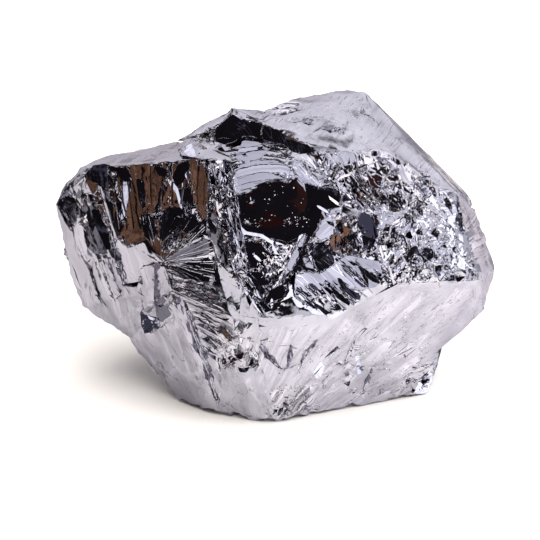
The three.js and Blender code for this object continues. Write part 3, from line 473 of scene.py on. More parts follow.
SLIVERS = [
    # bright slivers
    ([(-25.2, 15.1), (-23.9, 14.9), (-23.7, 13.5), (-24.2, 11.2), (-24.7, 8.8), (-25.3, 8.3), (-25.1, 10.8),
      (-25.1, 13.5)], STRIP, 0.1),
    ([(-17.8, 15.9), (-16.6, 15.1), (-15.6, 13.9), (-14.7, 10.3), (-15.2, 10.2), (-15.9, 12.9), (-16.9, 14.2)],
      STRIP, 0.2),
    ([(-14.4, 16.8), (-13.5, 16.8), (-13.7, 15.4), (-14.4, 15.6)], STRIP, 0.1),
    ([(-14.2, 21.2), (-13.2, 21.5), (-12.4, 19.3), (-13.5, 19.1), (-14.7, 20)], STRIP, 0.1),
    ([(10, 16.1), (10.7, 16.6), (11.2, 15.7), (11, 14.7), (10.3, 14.9), (9.8, 15.4)], STRIP, 0.2),
    ([(3.6, 0.5), (4.2, 2.2), (5.2, 4.6), (5.8, 6.3), (4.9, 5.8), (4.2, 3.4), (3.2, 1.2)], STRIP, 0.3),
    ([(29.6, 8.6), (31, 8), (32, 6.9), (31.3, 6.9)], PANE, 0.2),
    # dark strokes
    ([(-22.7, 15.6), (-21.3, 15.2), (-21, 10.8), (-21.7, 10.2), (-22.3, 12.5)], DARK, 0.5),
    ([(-30.5, 10.5), (-29.1, 10.2), (-27.4, 6.1), (-27.1, 3.4), (-27.8, 3.4), (-29.5, 7.4)], DARK, 0.4),
    ([(12.2, 17.4), (13.2, 17.3), (17.9, 10.2), (17.4, 9.8), (15.7, 12.4), (14.1, 14.7)], DARK, 0.3),
    ([(15.4, 6.1), (18.1, 5.1), (16.9, 3.2), (16.1, 3.6)], DARK, 0.3),
    ([(4.9, 2.9), (5.8, 4.9), (6.4, 6.1), (7.4, 6.8), (7.4, 6.1), (6.4, 4.6), (5.8, 2.7)], DARK, 0.4),
    ([(5.4, 2.2), (6.6, 2.9), (7.6, 1.5), (7.4, 0.2), (6.1, 0.5)], WINDOW, 0.8),
    ([(12, 1), (12.7, 1), (14.7, -0.3), (16.6, -2.4), (16.8, -3), (15.7, -3), (13.7, -1.2), (12.4, 0)], SCREEN,
      0.4),
    ([(14.2, 1.7), (14.7, 1.5), (16.8, -0.3), (19.1, -1.4), (18.6, -2.4), (17.4, -2), (15.6, -0.7)], DARK, 0.4),
    ([(11.2, -1.2), (12, -1.4), (13.2, -3), (15.4, -4.4), (15.2, -5.1), (13.9, -4.7), (12.2, -3.4)], DARK, 0.4),
    ([(9.8, -2.2), (11.3, -3.6), (13.7, -5.4), (13.4, -6.1), (11.2, -4.7)], DARK, 0.4),
    ([(4.1, -3), (5.1, -3.4), (6.8, -5.1), (8.3, -5.9), (10.3, -7.3), (9.5, -7.6), (8.5, -7.1), (6.3, -5.8),
      (4.7, -4.6)], DARK, 0.4),
    ([(6.3, -2.4), (7.1, -2.2), (8.3, -3.2), (7.6, -4.1), (6.6, -3.4)], SCREEN, 0.4),
    ([(-8.5, -15.2), (-5.9, -14.2), (-3.4, -13.7), (-4.7, -14.9), (-6.4, -15.7), (-8.1, -15.9)], DARK, 0.5),
    ([(-5.6, -16.3), (-3.4, -16.1), (-3.9, -17.4), (-5.1, -17.3)], DARK, 0.5),
    ([(-22, -7.4), (-19.3, -8), (-18.3, -8.8), (-19.1, -10.2), (-21.2, -10.8), (-21.8, -9.3)], SCREEN, 0.4),
    # needles left of the bowl and under it
    ([(-9, 17.4), (-8.1, 16.9), (-6.9, 15.9), (-6.9, 13.9), (-7.6, 14.2), (-8.5, 15.6)], STRIP, 0.2),
    ([(-8, 10.5), (-6.8, 9.5), (-6.4, 7.4), (-6.9, 6.9), (-7.8, 8.6)], STRIP, 0.2),
    # flakes low on the front
    ([(23.9, -20.7), (25.4, -18.6), (27.1, -16.9), (27.8, -18.3), (27.3, -20.3), (26.1, -21.3)], PANE, 0.15),
    ([(14.4, -14.4), (15.2, -14.7), (15.6, -17.6), (14.9, -17.9)], STRIP, 0.3),
    ([(7.3, -17.1), (8.6, -15.4), (9.3, -16.3), (8.6, -18.1), (7.8, -18.5)], STRIP, 0.3),
    # the broken lip of the terrace
    ([(3, -2.2), (4.2, -2.7), (4.6, -4.4), (3.6, -4.6)], STRIP, 0.3),
    ([(3.6, -4.7), (4.9, -5.1), (6.1, -6.6), (4.6, -6.3)], STRIP, 0.3),
    ([(5.6, -5.8), (8.1, -6.6), (9.8, -8), (7.1, -7.4)], STRIP, 0.3),
    ([(4.7, -3.6), (6.3, -4.6), (5.8, -5.4), (4.9, -4.7)], STRIP, 0.3),
    # blades on the right
    ([(25.4, 15.4), (26.4, 15.1), (28.4, 11.3), (28.1, 10.5), (26.7, 12.2)], PANE, 0.2),
    ([(31.8, 6.4), (32.7, 5.8), (32.8, 4.6), (32, 5.1)], PANE, 0.2),
    ([(31.7, 2), (32.8, 1.4), (33.2, 0), (32, 0.3)], PANE, 0.3),
    # the strand left of the bowl
    ([(-6.6, 13.5), (-5.9, 13.2), (-5.6, 10.2), (-5.9, 8.1), (-6.6, 10.2)], STRIP, 0.3),
    ([(-5.8, 9.7), (-5.1, 9.1), (-4.9, 7.4), (-3.7, 6.3), (-4.4, 5.8), (-5.6, 7.1)], STRIP, 0.3),
    ([(-10.3, 16.1), (-9.5, 16.3), (-9, 14.7), (-9.8, 13.5)], STRIP, 0.3),
]

# Long thin blades of the break: the line each one runs along, how wide it is, and where it mirrors.
BLADES = [
    ([(-5.9, 7.7), (-4.2, 6.3), (-1.4, 5.8), (0.3, 4.7), (2.7, 4.2)], 0.6, STRIP),
    ([(0.3, 4.6), (1, 2.9), (2.5, 1.4)], 0.55, STRIP),
    ([(-3.2, 3), (-1.4, 1.4)], 0.5, STRIP),
    ([(6.1, 6.4), (4.9, 3.6), (3.2, 0.4), (2.7, -1.5)], 1.0, WINDOW),
    ([(7.1, 5.1), (6.6, 2.9), (7.4, 0.7), (8.1, -0.3)], 0.6, STRIP),
    ([(-4.1, -0.5), (-2.8, -3), (-2, -4.7), (-1.1, -5.4)], 0.65, STRIP),
    ([(-5.8, -1.5), (-3.6, -4.4), (-1.4, -7.6)], 0.5, STRIP),
    ([(0.3, -4.7), (0.3, -6.6)], 0.5, STRIP),
    ([(-3, 0), (-0.8, 0.2)], 0.45, WINDOW),
    ([(-2, -3), (-0.2, -2.7)], 0.45, WINDOW),
    ([(-7.1, 11.9), (-6.4, 8.1), (-5.5, 3.4), (-5.2, 0)], 0.6, STRIP),
    ([(7.8, 11), (10.2, 9.5)], 0.5, STRIP),
    ([(4.2, -2.7), (2.7, -4.9)], 0.5, STRIP),
    ([(-7.9, 8.9), (-6.8, 6.5), (-6, 4.1)], 0.8, STRIP),
    ([(-6.9, 4.1), (-5.7, -1)], 0.55, STRIP),
]


def blade(line, width):
    """The outline of a blade that tapers to a point at both ends of its line."""
    line = np.array(line, dtype=float)
    share = np.linspace(0, 1, 9)
    spine = np.stack([np.interp(share, np.linspace(0, 1, len(line)), line[:, k]) for k in (0, 1)], axis=1)
    run = np.gradient(spine, axis=0)
    across = np.stack([-run[:, 1], run[:, 0]], axis=1) / np.linalg.norm(run, axis=1)[:, None]
    across *= width / 2 * (1 - np.abs(2 * share - 1) ** 4)[:, None]
    return [*(spine + across), *(spine - across)[-2:0:-1]]


for line, width, mirrors in BLADES:
    SLIVERS.append((blade(line, width), mirrors, BLADE_LINES))

# Where long thin splinters cross each other: the outline, and how steeply they stand.
SPLINTERED = [
    ([(-5.1, 6.4), (-1.4, 6), (6.1, 5.4), (4.4, 0.3), (3.4, -3.4), (1.4, -8.4), (-1.4, -6.1), (-4.5, -0.3)],
      0.5),
    ([(-9.5, 19), (-7.5, 18.6), (-5.4, 11.9), (-4.9, 4), (-4, -1), (-1, -7.5), (-5, -1), (-7.6, 4),
      (-9.4, 11.9)], 0.9),
    (LOWER_GLITTER, 0.9),
    ([(5.1, 4.4), (10.5, 9.5), (16, 9.8), (18.3, 3.4), (13.9, 2.2), (11.2, 3.2), (5.2, 1.6)], 0.7),
    ([(7.1, 20.3), (19.3, 20.3), (25.4, 16.4), (29, 13.5), (23, 8), (16.3, 8), (10.5, 12.2)], 0.7),
    ([(-9.1, -12.5), (-2.7, -10.8), (-3, -17.3), (-7.8, -18.3)], 0.6),
]

# Where small flecks catch the light: the outline, and how many there are.
FLECKED = [
    (BOWL, 0.1),
    ([(-5.8, 9), (-3, 7.8), (5, 7.6), (6, 9), (4, 9), (-2, 9)], 0.8),
    ([(8.5, 28.5), (16, 28), (18, 25.5), (12, 24.5), (7, 25.5)], 1.2),
    ([(10, 24.5), (24, 22), (27, 18), (15, 21)], 0.35),
    ([(6, -11), (16, -7), (30, -4), (28, -20), (20, -22), (2, -23)], 0.4),
    ([(27, -16), (33, -13), (29, -23), (24, -22)], 0.9),
    ([(0.3, -18), (9, -17), (9, -24), (0, -26)], 0.8),
    ([(14, 14), (30, 10), (35, -2), (19, -3)], 0.5),
]

# Where the edges are worn and one plane runs softly into the next.
WORN = [(8.5, -5), (22, -4.5), (31, -10), (31, -17), (22, -15.5), (12, -10.5), (6, -9)]


def past_front(normals):
    """0 on the faces that the front sheet covers, 1 on those it doesn't reach."""
    return 1 - soft_step(normals @ SHEET_AXES[2], 0.0, 0.16)


def is_front(normals):
    return past_front(normals) < 0.5


def patches(points, phase):
    """Patches a few millimetres wide that come and go over the rest of the lump."""
    waves = np.zeros(len(points))
    for k, stretch in enumerate([(1, 0.3, 0.6), (-0.4, 1, 0.5), (0.5, -0.6, 1)]):
        waves += np.sin(points @ np.array(stretch) / (3.1 + 0.9 * k) / MM + phase * (k + 1))
    return soft_step(waves, 0.3, 1.1)


def within_bounds(points):
    """0 on the faces of the stone's bounding box, and 1 from a millimetre inside it."""
    low, high = np.array(solid_box)
    return soft_step(np.concatenate([points - low, high - points], axis=1).min(axis=1), 0.12 * MM, 0.9 * MM)


def brokenness(points, normals):
    """For each point: coarse chips, fine chips, freshness, steps, splinters, flecks."""
    sheet = on_sheet(points)

    def within(outline, low, high):
        return soft_step(inside_by(sheet, outline), low, high)

    coarse, fine, depth, splintered, flecked = np.zeros((5, len(points)))
    for outline, high, glitter in SHATTERED:
        here = within(outline, -0.6, 0.6)
        coarse, fine = np.maximum(coarse, high * here), np.maximum(fine, glitter * here)
    for outline, *_, deep in STRIATED:
        depth += (deep - depth) * within(outline, -0.3, 0.5)
    for outline, steep in SPLINTERED:
        splintered = np.maximum(splintered, steep * within(outline, -0.5, 0.5))
    for outline, many in FLECKED:
        flecked = np.maximum(flecked, many * within(outline, -1, 1))
    fresh = within(FRESH, -0.5, 0.5)
    elsewhere = past_front(normals)
    rear_chips = patches(points, 0.7)
    rear_lines = patches(points, 2.9) * (1 - rear_chips)
    held = within_bounds(points)

    def blend(front, rear):
        return (front * (1 - elsewhere) + rear * elsewhere) * held

    return (
        blend(coarse, rear_chips),
        blend(fine, 0.7 * rear_chips),
        blend(fresh, np.maximum(rear_chips, 0.8 * patches(points, 5.1))),
        blend(depth, 0.8 * rear_lines),
        blend(splintered, 0.8 * rear_chips),
        blend(flecked, 0.25 * patches(points, 1.9)),
    )


def face_normals(points, faces):
    """Which way each face looks: the larger the face, the longer its normal."""
    return np.cross(points[faces[:, 1]] - points[faces[:, 0]], points[faces[:, 2]] - points[faces[:, 0]])


def edges_of(points, faces):
    """The edges of a triangle mesh, the three of each face, and the summed normals of the faces beside each."""
    pairs = np.sort(faces[:, [[0, 1], [1, 2], [2, 0]]].reshape(-1, 2), axis=1)
    edges, of_face = np.unique(pairs, axis=0, return_inverse=True)
    of_face = of_face.reshape(-1, 3)
    outward = face_normals(points, faces)
    outward /= np.maximum(np.linalg.norm(outward, axis=1), 1e-15)[:, None]
    beside = np.zeros((len(edges), 3))
    for k in range(3):
        np.add.at(beside, of_face[:, k], outward)
    return edges, of_face, beside


is_ridge_below = 2 * math.cos(math.radians(RIDGE_ANGLE / 2))


def wanted_at(middles, beside):
    """The triangle size wanted at the middle of each edge, which has these summed normals beside it."""
    sheet = on_sheet(middles)
    coarse, fine, _, depth, *_ = brokenness(middles, beside / 2)
    is_ridge = np.linalg.norm(beside, axis=1) < is_ridge_below
    at_foot = is_ridge & (middles[:, 2] < 3 * MM)
    in_bowl = inside_by(sheet, BOWL) > -1
    at_facet = np.zeros(len(middles), dtype=bool)
    for outline, *_ in FACETS + SLIVERS:
        at_facet |= np.abs(inside_by(sheet, outline)) < FACET_MARGIN
    at_facet &= is_front(beside / 2)
    wanted = QUIET_EDGE + (STRIATED_EDGE - QUIET_EDGE) * np.clip(np.abs(depth) * 1.6, 0, 1)
    sharper = [(is_ridge, RIDGE_EDGE), (at_foot, SHATTERED_EDGE), (in_bowl, BOWL_EDGE), (at_facet, FACET_EDGE)]
    for spots, size in sharper:
        wanted = np.where(spots, np.minimum(wanted, size), wanted)
    return wanted + (SHATTERED_EDGE - wanted) * np.clip(np.maximum(coarse, fine * 0.6) * 1.5, 0, 1)


# Triangles are halved across their longest edge until each is as small as its spot wants.
for _ in range(SPLIT_ROUNDS):
    edges, of_face, beside = edges_of(points, faces)
    ends = points[edges]
    lengths = np.linalg.norm(ends[:, 0] - ends[:, 1], axis=1)
    split = lengths > SHATTERED_EDGE * SPLIT_OVER
    split[split] = lengths[split] > wanted_at(ends[split].mean(axis=1), beside[split]) * SPLIT_OVER
    at_blade = np.zeros(len(edges), dtype=bool)
    for outline, *_ in SLIVERS[-len(BLADES):]:
        at_blade |= inside_by(on_sheet(ends.mean(axis=1)), outline) > -BLADE_MARGIN
    split |= at_blade & (lengths > BLADE_EDGE * SPLIT_OVER) & is_front(beside / 2)
    if not split.any():
        break
    longest = lengths[of_face].argmax(axis=1)
    longest_of_face = of_face[np.arange(len(faces)), longest]
    while not split[longest_of_face[split[of_face].any(axis=1)]].all():
        split[longest_of_face[split[of_face].any(axis=1)]] = True
    middle = np.full(len(edges), -1)
    middle[split] = len(points) + np.arange(split.sum())
    points = np.concatenate([points, ends[split].mean(axis=1)])
    order = (longest[:, None] + np.arange(3)) % 3
    a, b, c = np.take_along_axis(faces, order, axis=1).T
    ab, bc, ca = middle[np.take_along_axis(of_face, order, axis=1)].T
    pieces = [
        (ab < 0, a, b, c),
        ((ab >= 0) & (ca < 0), a, ab, c),
        (ca >= 0, a, ab, ca),
        (ca >= 0, ca, ab, c),
        ((ab >= 0) & (bc < 0), ab, b, c),
        (bc >= 0, ab, b, bc),
        (bc >= 0, ab, bc, c),
    ]
    faces = np.concatenate([np.stack(corners, axis=1)[taken] for taken, *corners in pieces])

edges, _, beside = edges_of(points, faces)
touching = np.bincount(edges.ravel(), minlength=len(points))[:, None]


def spread(values, rounds):
    """Evens out values over the neighbours of each point."""
    for _ in range(rounds):
        total = np.zeros_like(values)
        np.add.at(total, edges[:, 0], values[edges[:, 1]])
        np.add.at(total, edges[:, 1], values[edges[:, 0]])
        values = 0.5 * values + 0.5 * total / touching
    return values


# The bowl is one smooth shell-shaped break.
in_bowl = soft_step(inside_by(on_sheet(points), BOWL), -0.3, 1.2)[:, None]
for _ in range(BOWL_ROUNDS):
    points = points + in_bowl * (spread(points, 2) - points)

sums = np.zeros_like(points)
outward = face_normals(points, faces)
for k in range(3):
    np.add.at(sums, faces[:, k], outward)
normals = sums / np.maximum(np.linalg.norm(sums, axis=1), 1e-15)[:, None]
coarse, fine, fresh, depth, splintered, flecked = brokenness(points, normals)
broad = spread(normals, BROAD_ROUNDS)
sheet = on_sheet(points)
on_front = is_front(normals)
worn = soft_step(inside_by(sheet, WORN), -1, 1) * on_front
ridge = np.zeros((len(points), 1))
ridge[edges[np.linalg.norm(beside, axis=1) < is_ridge_below]] = 1
foot = np.clip(2 * spread(ridge, 2), 0, 1) * (1 - soft_step(points[:, 2:], 0.3 * MM, 2 * MM))
ridge = spread(ridge, 1) * (1 + soft_step(points[:, 2:], 4 * MM, 0.5 * MM)) * (1 - worn[:, None])

# The striations: a number that counts them, one that counts along them, and the direction across them.
across_of = np.tile(np.array((0.9, -0.3, -0.2)), (len(points), 1))
stripe = points @ across_of[0] / (0.9 * MM)
along = points @ np.array((0.2, 0.1, 0.97)) / (4 * MM)
right, up, _ = SHEET_AXES
for outline, runs, about, spacing, length, _ in STRIATED:
    inside = (inside_by(sheet, outline) > -0.3) & on_front
    offset = sheet[inside] - np.array(about)
    distance = np.linalg.norm(offset, axis=1)
    angle = np.degrees(np.arctan2(offset[:, 1], offset[:, 0]))
    if runs == "rays":
        stripe[inside], along[inside] = angle / spacing, distance / length
        flat = np.stack([-offset[:, 1], offset[:, 0]], axis=1) / distance[:, None]
    elif runs == "rings":
        stripe[inside], along[inside] = distance / spacing, np.radians(angle) * distance / length
        flat = offset / distance[:, None]
    else:
        crosswise = np.array((-about[1], about[0]))
        stripe[inside] = sheet[inside] @ crosswise / spacing
        along[inside] = sheet[inside] @ np.array(about) / length
        flat = np.tile(crosswise, (inside.sum(), 1))
    across_of[inside] = flat[:, :1] * right + flat[:, 1:] * up
across_of /= np.linalg.norm(across_of, axis=1)[:, None]


def planes(outlines):
    """For each point: millimetres inside the nearest clean plane, where that plane faces, and its lines."""
    inside, faces_to, lines_of = np.full(len(sheet), -1.0), broad.copy(), np.ones(len(sheet))
    for outline, mirrors, lines in outlines:
        deep = inside_by(sheet, outline)
        nearer = on_front & ((deep > inside) | (deep > 0))
        faces_to[nearer] = (out_to(*mirrors) + toward_view).normalized()
        lines_of[nearer] = lines
        inside[on_front] = np.maximum(inside, deep)[on_front]
    return inside, faces_to, lines_of


stone_mesh = bpy.data.meshes.new("terahertz_stone_refined")
stone_mesh.from_pydata(points, [], faces)


def keep(**marks):
    """Keeps a number or a direction for each point of the stone, for its shape and its material to read."""
    for name, values in marks.items():
        is_number = values.size == len(points)
        kind = "FLOAT" if is_number else "FLOAT_VECTOR"
        attribute = stone_mesh.attributes.new(name.replace("_", " "), kind, "POINT")
        attribute.data.foreach_set("value" if is_number else "vector", values.ravel())


keep(coarse_chips=coarse, fine_chips=fine, fresh=fresh, striated=depth, splintered=splintered, flecked=flecked)
keep(ridge=ridge, worn=worn, foot=foot, held=(1 - fresh) * within_bounds(points))
keep(stripe=np.stack([stripe, along, 0 * along], axis=1), across=across_of)
keep(broad=broad / np.linalg.norm(broad, axis=1)[:, None])
for name, outlines in (("facet", FACETS), ("sliver", SLIVERS)):
    inside, faces_to, lines_of = planes(outlines)
    keep(**{name: inside, name + "_faces": faces_to, name + "_lines": lines_of})

stone = bpy.data.objects.new("terahertz_stone_lump", stone_mesh)
bpy.context.scene.collection.objects.link(stone)

# The relief: small tilted planes, each with its own height, that break the surface wherever the chips are
# marked. Ridges and the foot's edge are nibbled at, and the satin faces swell a little.
shatter = bpy.data.node_groups.new("shattered ground", "GeometryNodeTree")
shatter.interface.new_socket("Stone", in_out="INPUT", socket_type="NodeSocketGeometry")
shatter.interface.new_socket("Stone", in_out="OUTPUT", socket_type="NodeSocketGeometry")
relief = {
    "Coarse chip": 2.6 * MM,
    "Coarse tilt": 0.8,
    "Fine chip": 1.3 * MM,
    "Fine tilt": 0.1,
    "Ridge bite": 1.6 * MM,
    "Ridge bite depth": 0.6 * MM,
    "Foot bite": 2.4 * MM,
    "Foot bite depth": 1.5 * MM,
    "Swell": 5 * MM,
    "Swell height": 0.9 * MM,
}
identifiers = {
    name: shatter.interface.new_socket(name, in_out="INPUT", socket_type="NodeSocketFloat").identifier
    for name in relief
}
add, math_of = joined_nodes(shatter)
taken = add("NodeGroupInput").outputs
place = add("GeometryNodeInputPosition").outputs[0]
outward = add("GeometryNodeInputNormal").outputs[0]


def vector_of(operation, *terms):
    return add("ShaderNodeVectorMath", enumerate(terms), operation=operation).outputs


def scaled(vector, factor):
    return add("ShaderNodeVectorMath", {0: vector, "Scale": factor}, operation="SCALE").outputs[0]


def product(first, *others):
    for other in others:
        first = math_of("MULTIPLY", first, other)
    return first


def ramp(value, low, high, start=0.0, end=1.0):
    return add("ShaderNodeMapRange", {0: value, 1: low, 2: high, 3: start, 4: end}).outputs[0]


def marked(name):
    return add("GeometryNodeInputNamedAttribute", {"Name": name}, data_type="FLOAT").outputs[0]


def tilted_planes(kind, where):
    """Height over the surface of random tilted planes, one for each cell of the given kind of chip."""
    fineness = math_of("DIVIDE", 1.0, taken[kind + " chip"])
    chips = add("ShaderNodeTexVoronoi", {"Vector": place, "Scale": fineness}, feature="F1").outputs
    lean = vector_of("SUBTRACT", chips["Color"], (0.5, 0.5, 0.5))[0]
    from_middle = vector_of("SUBTRACT", place, chips["Position"])[0]
    return product(vector_of("DOT_PRODUCT", from_middle, lean)["Value"], taken[kind + " tilt"], marked(where))


def lumps(kind, detail=2.0):
    """Soft noise whose lumps are as large as the given input."""
    links = {"Vector": place, "Scale": math_of("DIVIDE", 1.0, taken[kind]), "Detail": detail}
    return add("ShaderNodeTexNoise", links).outputs[0]


chips = math_of("ADD", tilted_planes("Coarse", "coarse chips"), tilted_planes("Fine", "fine chips"))
ridge_bites = product(ramp(lumps("Ridge bite"), 0.38, 0.7), marked("ridge"), taken["Ridge bite depth"])
foot_bites = product(ramp(lumps("Foot bite", 3.0), 0.42, 0.58), marked("foot"), taken["Foot bite depth"])
swell = product(math_of("SUBTRACT", lumps("Swell"), 0.55), marked("held"), taken["Swell height"])
lift = scaled(outward, math_of("ADD", chips, math_of("SUBTRACT", swell, ridge_bites)))
offset = vector_of("ADD", lift, add("ShaderNodeCombineXYZ", {"Z": foot_bites}).outputs[0])[0]
moved = add("GeometryNodeSetPosition", {"Geometry": taken["Stone"], "Offset": offset})
realized = add("GeometryNodeRealizeInstances", {0: moved.outputs[0]})
finish = add("GeometryNodeSetMaterial", {"Geometry": realized.outputs[0]})
add("NodeGroupOutput", {0: finish.outputs[0]})

# What the break is made of. Silicon has no grain colour of its own: most
# of what changes is how the mirror is tilted, from cell to cell and from step to
# step, and how sharp it is; its tone also carries painted highlights and shade.
SILICON_DEEP = (0.365, 0.364, 0.425, 1)
SILICON_PALE = (0.46, 0.460, 0.532, 1)
PAINTED_SHARD_HIGHLIGHT = (0.88, 0.86, 0.97, 1)
PAINTED_SHARD_SHADE = (0.16, 0.15, 0.18, 1)
CRUSHED = (0.62, 0.61, 0.68, 1)
STREAK = (0.24, 0.23, 0.28, 1)
PAINTED_LEFT_SHADE = (0.20, 0.19, 0.22, 1)  # painted shade: the left end is made darker, for the shade on that side
SCRATCH_SHADE_COLOUR = (0.10, 0.09, 0.10, 1)
PAINTED_GLINT = (0.97, 0.96, 1, 1)
EDGE_TINT = (0.55, 0.53, 0.57, 1)

mirror = bpy.data.materials.new("broken silicon")
mirror.use_nodes = True
shader = mirror.node_tree.nodes["Principled BSDF"]
add, math_of = joined_nodes(mirror.node_tree)


def attribute_of(name, output="Fac"):
    return add("ShaderNodeAttribute", attribute_name=name).outputs[output]


def noise_of(size, detail=2.0):
    return add("ShaderNodeTexNoise", {"Vector": place, "Scale": 1 / size, "Detail": detail}).outputs


def cells(where, fineness, feature="F1", dimensions="3D"):
    links = {"Vector": where, "Scale": fineness}
    return add("ShaderNodeTexVoronoi", links, feature=feature, voronoi_dimensions=dimensions).outputs


def channel(colour, which):
    return add("ShaderNodeSeparateColor", {0: colour}).outputs[which]


def random_tilt(colour, amount):
    return scaled(vector_of("SUBTRACT", colour, (0.5, 0.5, 0.5))[0], amount)


def turned_to(amount, under, over):
    return add("ShaderNodeMix", {0: amount, 4: under, 5: over}, data_type="VECTOR").outputs[1]


place = add("ShaderNodeTexCoord").outputs["Object"]
is_coarse = attribute_of("coarse chips")
is_fine = attribute_of("fine chips")
is_fresh = attribute_of("fresh")
is_satin = math_of("SUBTRACT", 1.0, is_fresh)
is_stepped = attribute_of("striated")
is_splintered = attribute_of("splintered")
broad = attribute_of("broad", "Vector")
plain = add("ShaderNodeNewGeometry").outputs["Normal"]

# shards: long narrow planes that lean a little each, with thin steep steps between them
SMALL_SHARDS = 2.6  # so many in the width of a large one
counted = vector_of("ADD", attribute_of("stripe", "Vector"), scaled(noise_of(5 * MM, 3.0)["Color"], 0.5))[0]
shard = cells(counted, 1.0, dimensions="2D")["Color"]
small_shard = cells(counted, SMALL_SHARDS, dimensions="2D")["Color"]
to_step = cells(counted, 1.0, "DISTANCE_TO_EDGE", "2D")["Distance"]
to_small_step = cells(counted, SMALL_SHARDS, "DISTANCE_TO_EDGE", "2D")["Distance"]
on_step = product(ramp(to_step, 0.05, 0.12, 1.0, 0.0), ramp(channel(shard, 1), 0.1, 0.8))
on_small_step = product(ramp(to_small_step, 0.06, 0.14, 1.0, 0.0), ramp(channel(small_shard, 1), 0.3, 0.9))


def leaned(colour, lean, step, height):
    """Leans each shard across its own run, and the step at its edge much more."""
    lean_of = math_of("MULTIPLY", math_of("SUBTRACT", channel(colour, 0), 0.5), lean)
    both = math_of("ADD", lean_of, math_of("MULTIPLY", step, height))
    return scaled(attribute_of("across", "Vector"), product(both, is_stepped))


def crackle(size, lean, crack, amount):
    """Small planes that each lean their own way, with cracks between them."""
    to_crack = cells(place, 1 / size, "DISTANCE_TO_EDGE")["Distance"]
    opened = scaled((0.2, -0.5, 0.9), product(ramp(to_crack, 0.03, 0.09, 1.0, 0.0), amount, crack))
    own_lean = random_tilt(cells(place, 1 / size)["Color"], math_of("MULTIPLY", amount, lean))
    return vector_of("ADD", own_lean, opened)[0]


# hairlines: thin broken scratches that follow the flow of the satin faces, painted dark as shade in their
# grooves
links = {"Vector": counted, "Scale": 1.1, "Detail": 4.0}
flow = add("ShaderNodeTexNoise", links, noise_dimensions="2D").outputs["Fac"]
off_line = math_of("ABSOLUTE", math_of("SUBTRACT", flow, 0.5))
scratch_shade = product(ramp(off_line, 0.0, 0.02, 0.8, 0.0), ramp(noise_of(4 * MM)["Fac"], 0.42, 0.56), is_satin)

# flecks: small chips, few and far between, that mirror cleanly and get a painted glint
fleck = cells(place, 1 / (0.18 * MM))["Color"]
common = product(attribute_of("flecked"), ramp(noise_of(2 * MM)["Fac"], 0.45, 0.7), 0.3)
is_fleck = math_of("GREATER_THAN", channel(fleck, 1), math_of("SUBTRACT", 1.0, common))

# What tilts the mirror off the face it lies on: slow wavers, crumbled ridges, shards large and small, the
# striations large and small, and the crackle of the fine chips.
calm = ramp(noise_of(2.4 * MM)["Fac"], 0.40, 0.60)
tilts = [
    random_tilt(noise_of(3.5 * MM)["Color"], 0.26),
    random_tilt(noise_of(0.8 * MM)["Color"], 0.08),
    random_tilt(noise_of(0.6 * MM)["Color"], attribute_of("ridge")),
    random_tilt(shard, math_of("MULTIPLY", is_coarse, 1.1)),
    random_tilt(small_shard, math_of("MULTIPLY", is_coarse, 0.22)),
    leaned(shard, 0.4, on_step, 1.3),
    leaned(small_shard, 0.12, on_small_step, 0.4),
    crackle(0.42 * MM, 0.34, 0.7, math_of("MULTIPLY", is_fine, calm)),
]
lines_on_it = tilts[0]
for tilt in tilts[1:]:
    lines_on_it = vector_of("ADD", lines_on_it, tilt)[0]
evened = math_of("MAXIMUM", ramp(is_fine, 0.0, 0.8, 0.0, 0.9), attribute_of("worn"))
evened = math_of("MAXIMUM", math_of("MULTIPLY", is_coarse, 0.7), evened)
tilted = vector_of("ADD", turned_to(evened, plain, broad), lines_on_it)[0]

# the clean planes: each faces its own way and carries only a share of those lines
is_clean = 0.0
for name in ("facet", "sliver"):
    on_plane = ramp(attribute_of(name), -0.02, 0.04)
    is_clean = math_of("MAXIMUM", is_clean, on_plane)
    kept_lines = attribute_of(name + " lines")
    own = vector_of("ADD", attribute_of(name + " faces", "Vector"), scaled(lines_on_it, kept_lines))[0]
    tilted = turned_to(on_plane, tilted, own)
    quiet = math_of("MULTIPLY", on_plane, math_of("SUBTRACT", 0.8, kept_lines))
    is_splintered = math_of("MULTIPLY", is_splintered, math_of("SUBTRACT", 1.0, quiet))

# splinters: long and thin, they lie over one another and lean their own way each; some get a painted glint
SPLINTER_RUNS = [(0.6, 0.6, 7), (1.25, 0.55, 6), (-0.95, 0.5, 6), (-0.3, 0.55, 6)]  # turn, width, length
painted_glint_mask = is_fleck
for turned_by, width, length in SPLINTER_RUNS:
    links = {"Vector": place, "Rotation": (0, turned_by, 0), "Scale": (length * MM, 9 * MM, width * MM)}
    lain = cells(add("ShaderNodeMapping", links, vector_type="TEXTURE").outputs[0], 1.0)
    picked = math_of("LESS_THAN", channel(lain["Color"], 2), math_of("MULTIPLY", is_splintered, 0.38))
    there = math_of("MULTIPLY", ramp(lain["Distance"], 0.36, 0.40, 1.0, 0.0), picked)
    tilted = turned_to(there, tilted, vector_of("ADD", broad, random_tilt(lain["Color"], 1.5))[0])
    painted_glint_mask = math_of("MAXIMUM", painted_glint_mask, math_of("MULTIPLY", there, channel(lain["Color"], 1)))
tilted = turned_to(is_fleck, tilted, vector_of("ADD", plain, random_tilt(fleck, 1.4))[0])
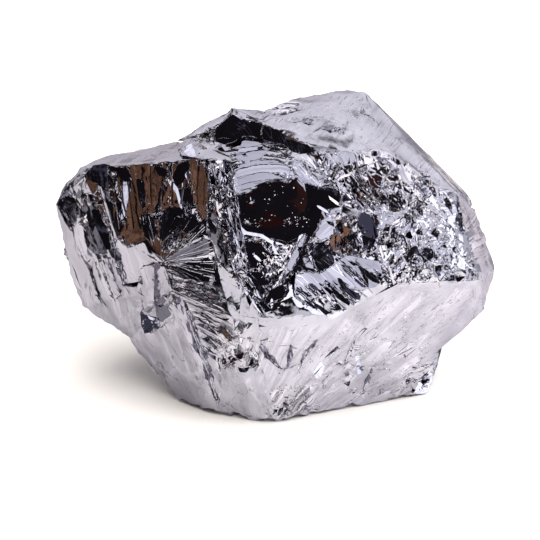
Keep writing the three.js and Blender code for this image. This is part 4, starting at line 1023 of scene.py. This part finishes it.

# the tone of the mirror, from the broadest change to the smallest, with painted highlights, painted shade and
# painted glints among them
# where the shards carry painted highlights and painted shade
shard_highlight_and_shade = product(math_of("MAXIMUM", is_coarse, math_of("ABSOLUTE", is_stepped)), 0.6)
stepped_enough = ramp(math_of("ABSOLUTE", is_stepped), 0.4, 0.8)
# painted shade along the steps between the shards
step_shade = product(math_of("MAXIMUM", on_step, on_small_step), stepped_enough, is_satin)
from_left = add("ShaderNodeSeparateXYZ", {0: place}).outputs["X"]
tone = mixed_in(SILICON_DEEP, ramp(noise_of(5 * MM, 5.0)["Fac"], 0.3, 0.7), SILICON_PALE)
# painted highlight: random shards turn near white, as if they caught the light
tone = mixed_in(tone, product(shard_highlight_and_shade, ramp(channel(shard, 2), 0.4, 0.8)), PAINTED_SHARD_HIGHLIGHT)
# painted shade: some small shards are made dark, as if in shade
tone = mixed_in(tone, product(shard_highlight_and_shade, 0.35, ramp(channel(small_shard, 2), 0.4, 0.1)), PAINTED_SHARD_SHADE)
tone = mixed_in(tone, ramp(is_fine, 0.0, 1.0, 0.0, 0.7), CRUSHED)
tone = mixed_in(tone, ramp(flow, 0.42, 0.25, 0.0, 0.5), STREAK)
# painted shade, darker towards the left end
tone = mixed_in(tone, ramp(from_left, -20 * MM, 3 * MM, 0.5, 0.0), PAINTED_LEFT_SHADE)
# painted shade in the scratches and along the steps
tone = mixed_in(tone, math_of("MAXIMUM", scratch_shade, step_shade), SCRATCH_SHADE_COLOUR)
# painted glint: the flecks and the bright splinters are given a near-white colour
tone = mixed_in(tone, painted_glint_mask, PAINTED_GLINT)

mottle = ramp(noise_of(1.2 * MM, 3.0)["Fac"], 0.3, 0.7, 0.6, 1.4)
polish = math_of("SUBTRACT", 1.0, math_of("MULTIPLY", is_clean, 0.7))
rough = product(ramp(is_fresh, 0.0, 1.0, 0.2, 0.05), mottle, polish)
mirror.node_tree.links.new(vector_of("NORMALIZE", tilted)[0], shader.inputs["Normal"])
mirror.node_tree.links.new(tone, shader.inputs["Base Color"])
mirror.node_tree.links.new(rough, shader.inputs["Roughness"])
shader.inputs["Metallic"].default_value = 1.0
shader.inputs["Specular Tint"].default_value = EDGE_TINT

finish.inputs["Material"].default_value = mirror
breaker = stone.modifiers.new("shattered ground", "NODES")
breaker.node_group = shatter
for name, identifier in identifiers.items():
    breaker[identifier] = relief[name]
broken = bpy.data.meshes.new_from_object(stone.evaluated_get(bpy.context.evaluated_depsgraph_get()))
stone.modifiers.remove(breaker)
broken.name = "terahertz_stone_lump"
stone.data = broken
bpy.data.meshes.remove(stone_mesh)

# Nothing may stand out of the solid's box.
low, high = np.array(solid_box)
spots = np.empty(3 * len(broken.vertices))
broken.vertices.foreach_get("co", spots)
broken.vertices.foreach_set("co", np.clip(spots.reshape(-1, 3), low, high).ravel())
for polygon in broken.polygons:
    polygon.use_smooth = True
broken.set_sharp_from_angle(angle=math.radians(SMOOTH_ANGLE))

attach(stone, "root")
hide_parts("terahertz_stone")
